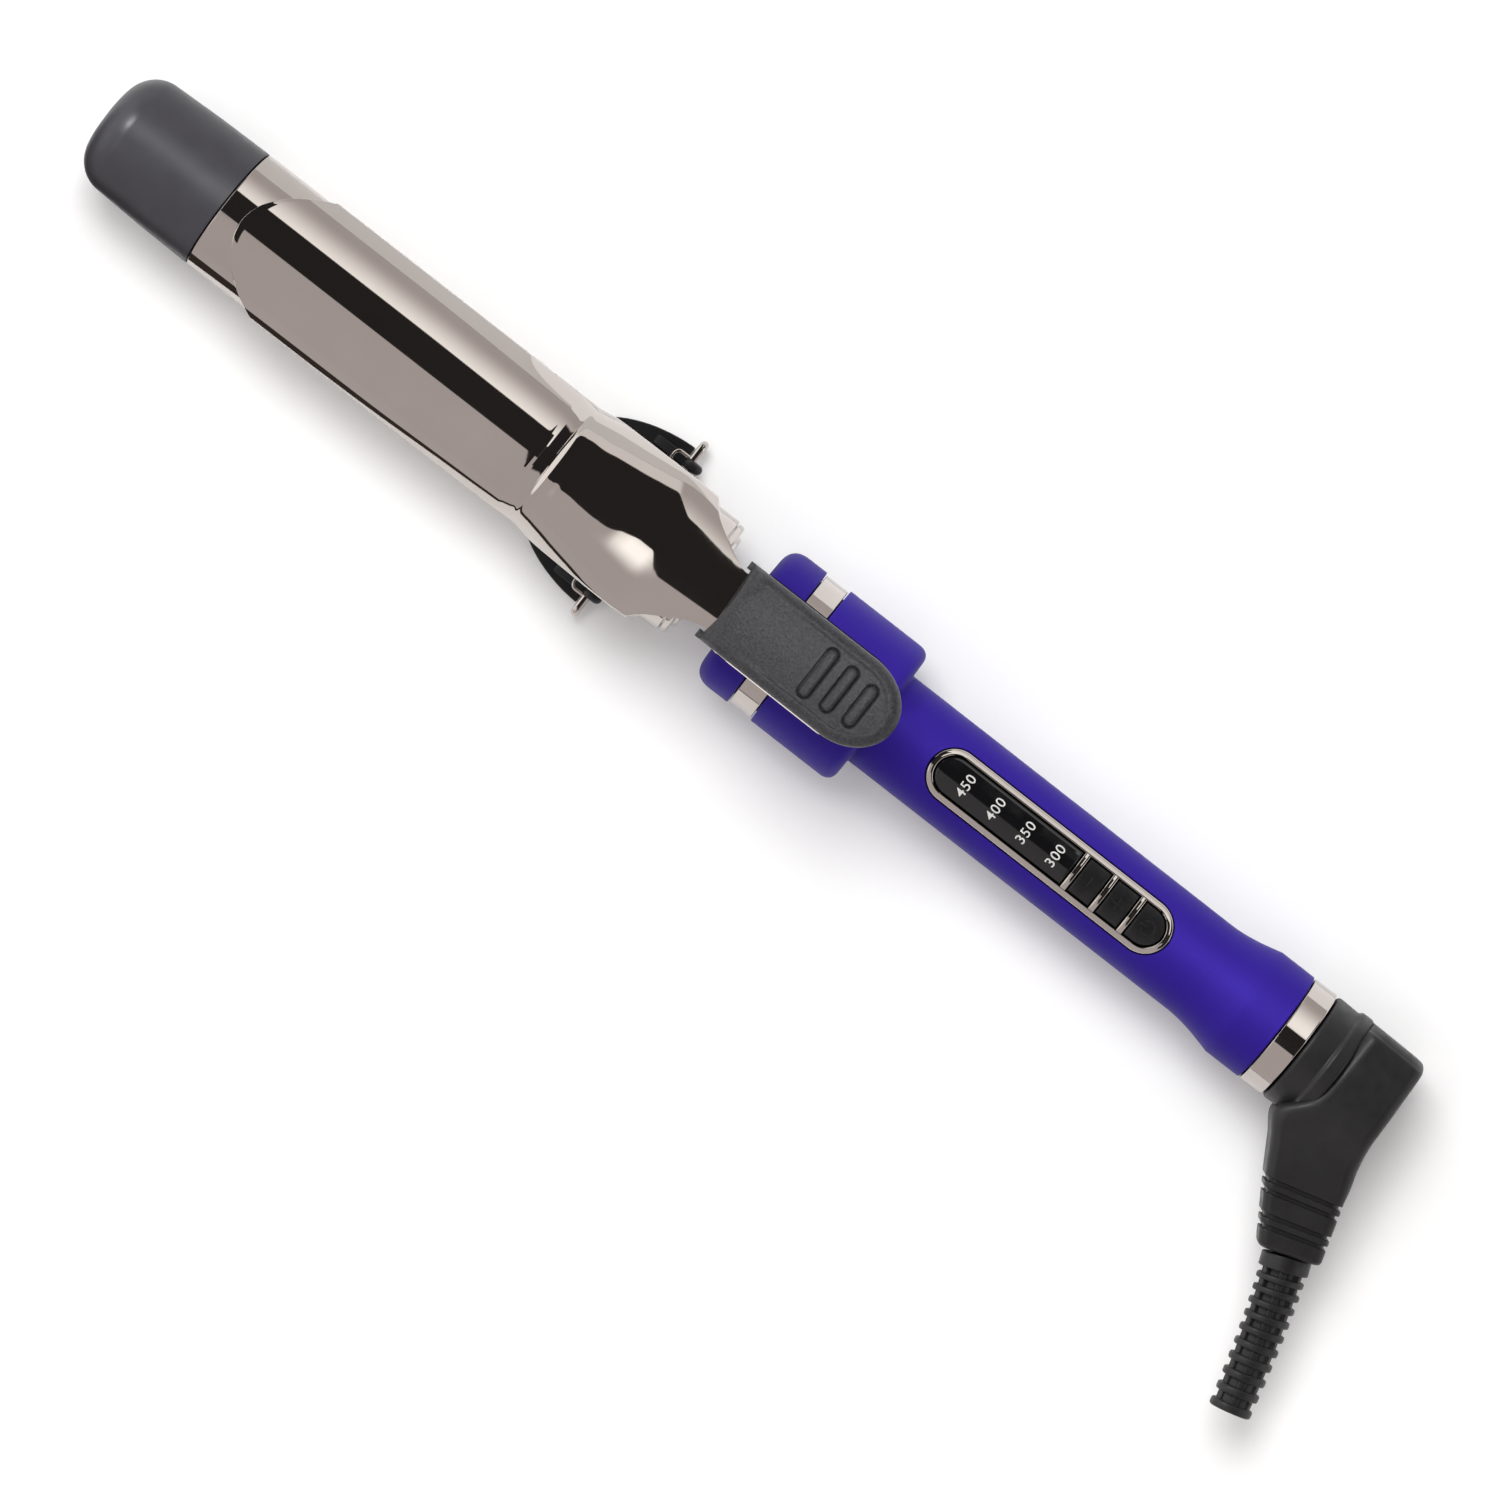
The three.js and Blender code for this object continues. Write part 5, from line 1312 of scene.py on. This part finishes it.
def add_lights():
    key_side = (-0.27, 0.345, 0.9)
    add_light("key", key_side, 1.6, 0.9, 13)
    add_light("key_on_paper", key_side, 1.6, 0.9, 13, receivers=["floor"])
    add_light("paper_fill", (0, 0, 1), 2.5, 2.0, 15, receivers=["floor"], shadow=False)
    satin = ["collar_shell", "handle_top_shell", "handle_under_shell"]
    add_light("sheen", (0.1, 0.3, 1), 1.5, 1.4, 18, mirrored=True, receivers=satin)
    add_light("cap_sheen", (0.0, 0.3, 1), 1.5, 0.7, 7, mirrored=True, receivers=["cap_shell"])
    add_light("pad_sheen", (-0.3, 0.16, 0.95), 1.5, 0.5, 6, mirrored=True, receivers=["pad_cover"])
    add_light("glint", (-0.66, 0.22, 0.72), 1.3, 0.16, 9, mirrored=True,
              receivers=["cap_shell", "handle_top_shell", "elbow_cover", "relief_sleeve"])


class SkyMaths:
    """Builds number expressions from the world's nodes."""

    def __init__(self, tree):
        self.tree = tree

    def do(self, operation, *values):
        node = self.tree.nodes.new("ShaderNodeMath")
        node.operation = operation
        for i, value in enumerate(values):
            if isinstance(value, (int, float)):
                node.inputs[i].default_value = value
            else:
                self.tree.links.new(value, node.inputs[i])
        return node.outputs[0]

    def product(self, first, *others):
        for other in others:
            first = self.do("MULTIPLY", first, other)
        return first

    def mixed(self, share, without, full):
        """From one value to another as the share runs from 0 to 1."""
        rest = self.do("MULTIPLY", self.do("SUBTRACT", 1, share), without)
        return self.do("ADD", rest, self.do("MULTIPLY", share, full))

    def ramp(self, value, start, end, low=0.0, high=1.0):
        """Value from start to end, as a smooth run from low to high."""
        node = self.tree.nodes.new("ShaderNodeMapRange")
        node.interpolation_type = "SMOOTHSTEP"
        self.tree.links.new(value, node.inputs["Value"])
        for key, number in (("From Min", start), ("From Max", end), ("To Min", low), ("To Max", high)):
            node.inputs[key].default_value = number
        return node.outputs["Result"]


def add_sky():
    """Studio surroundings by direction. Turn is degrees from overhead towards +Y; lean is how far along X."""
    world = bpy.data.worlds.new("studio")
    bpy.context.scene.world = world
    world.use_nodes = True
    tree = world.node_tree
    tree.nodes.clear()
    maths = SkyMaths(tree)
    direction = tree.nodes.new("ShaderNodeTexCoord").outputs["Generated"]
    parts = tree.nodes.new("ShaderNodeSeparateXYZ")
    tree.links.new(direction, parts.inputs[0])
    along, across, up = parts.outputs
    turn = maths.do("MULTIPLY", maths.do("ARCTAN2", across, up), 180 / math.pi)
    squares = maths.do("ADD", maths.do("MULTIPLY", across, across), maths.do("MULTIPLY", up, up))
    upright_part = maths.do("SQRT", squares)
    lean = maths.do("DIVIDE", along, maths.do("MAXIMUM", upright_part, 0.01))

    plus_side = maths.mixed(maths.ramp(lean, -0.38, -0.32), 1.1, maths.ramp(turn, 26, 80, 1.7, 0.64))
    on_plus = maths.ramp(turn, 10, 20)
    glow = maths.product(maths.ramp(maths.do("ABSOLUTE", maths.do("ADD", turn, 22)), 3, 32, 1.4, 0),
                         maths.ramp(maths.do("ABSOLUTE", maths.do("ADD", lean, 0.46)), 0.08, 0.28, 1, 0))
    side = maths.mixed(on_plus, maths.do("ADD", 0.67, glow), plus_side)
    side = maths.mixed(maths.ramp(lean, -1.25, -1.15), 1.5, side)

    crown_turn = maths.ramp(lean, -0.4, -0.17, 73, 52)
    upper_turn = maths.do("ADD", crown_turn, maths.ramp(lean, -0.13, -0.1, 0, -16.5))
    dip = maths.product(maths.ramp(lean, -0.36, -0.18), maths.ramp(lean, -0.13, -0.1, -23, 0))
    lower_turn = maths.do("ADD", maths.ramp(lean, -0.85, -0.5, -28, -8), dip)
    canopy = maths.product(maths.ramp(maths.do("SUBTRACT", turn, lower_turn), -0.6, 0.6),
                           maths.ramp(maths.do("SUBTRACT", turn, upper_turn), -0.8, 0.8, 1, 0),
                           maths.ramp(lean, -1.25, -1.15), maths.ramp(lean, 0.05, 0.06, 1, 0))
    patch = maths.product(maths.ramp(turn, -22.5, -21.5), maths.ramp(turn, 14.5, 15.5, 1, 0),
                          maths.ramp(lean, 0.05, 0.06), maths.ramp(lean, 0.16, 0.18, 1, 0))
    doorway = maths.product(maths.ramp(turn, -30, -25), maths.ramp(turn, 60, 66, 1, 0),
                            maths.ramp(lean, 0.12, 0.14), maths.ramp(lean, 0.9, 1.0, 1, 0))
    dark = maths.do("MAXIMUM", maths.do("MAXIMUM", canopy, patch), doorway)
    level = maths.mixed(dark, side, 0.03)

    warmth = tree.nodes.new("ShaderNodeMix")
    warmth.data_type = "RGBA"
    tree.links.new(maths.ramp(level, 0.7, 1.3), warmth.inputs[0])
    warmth.inputs[6].default_value = (1.0, 0.935, 0.925, 1)
    warmth.inputs[7].default_value = (1.0, 1.0, 0.985, 1)
    background = tree.nodes.new("ShaderNodeBackground")
    tree.links.new(warmth.outputs[2], background.inputs["Color"])
    tree.links.new(level, background.inputs["Strength"])
    out = tree.nodes.new("ShaderNodeOutputWorld")
    tree.links.new(background.outputs[0], out.inputs["Surface"])


tip_cap()
barrel()
clamp_plate()
thumb_pad()
stand_plate()
stand_wires()
collar()
handle()
bezel()
window()
keys()
level_numbers()
elbow()
relief()
finish_kept_nodes()
add_floor()
add_cards()
add_lights()
add_sky()
bpy.context.scene.view_settings.view_transform = "Standard"
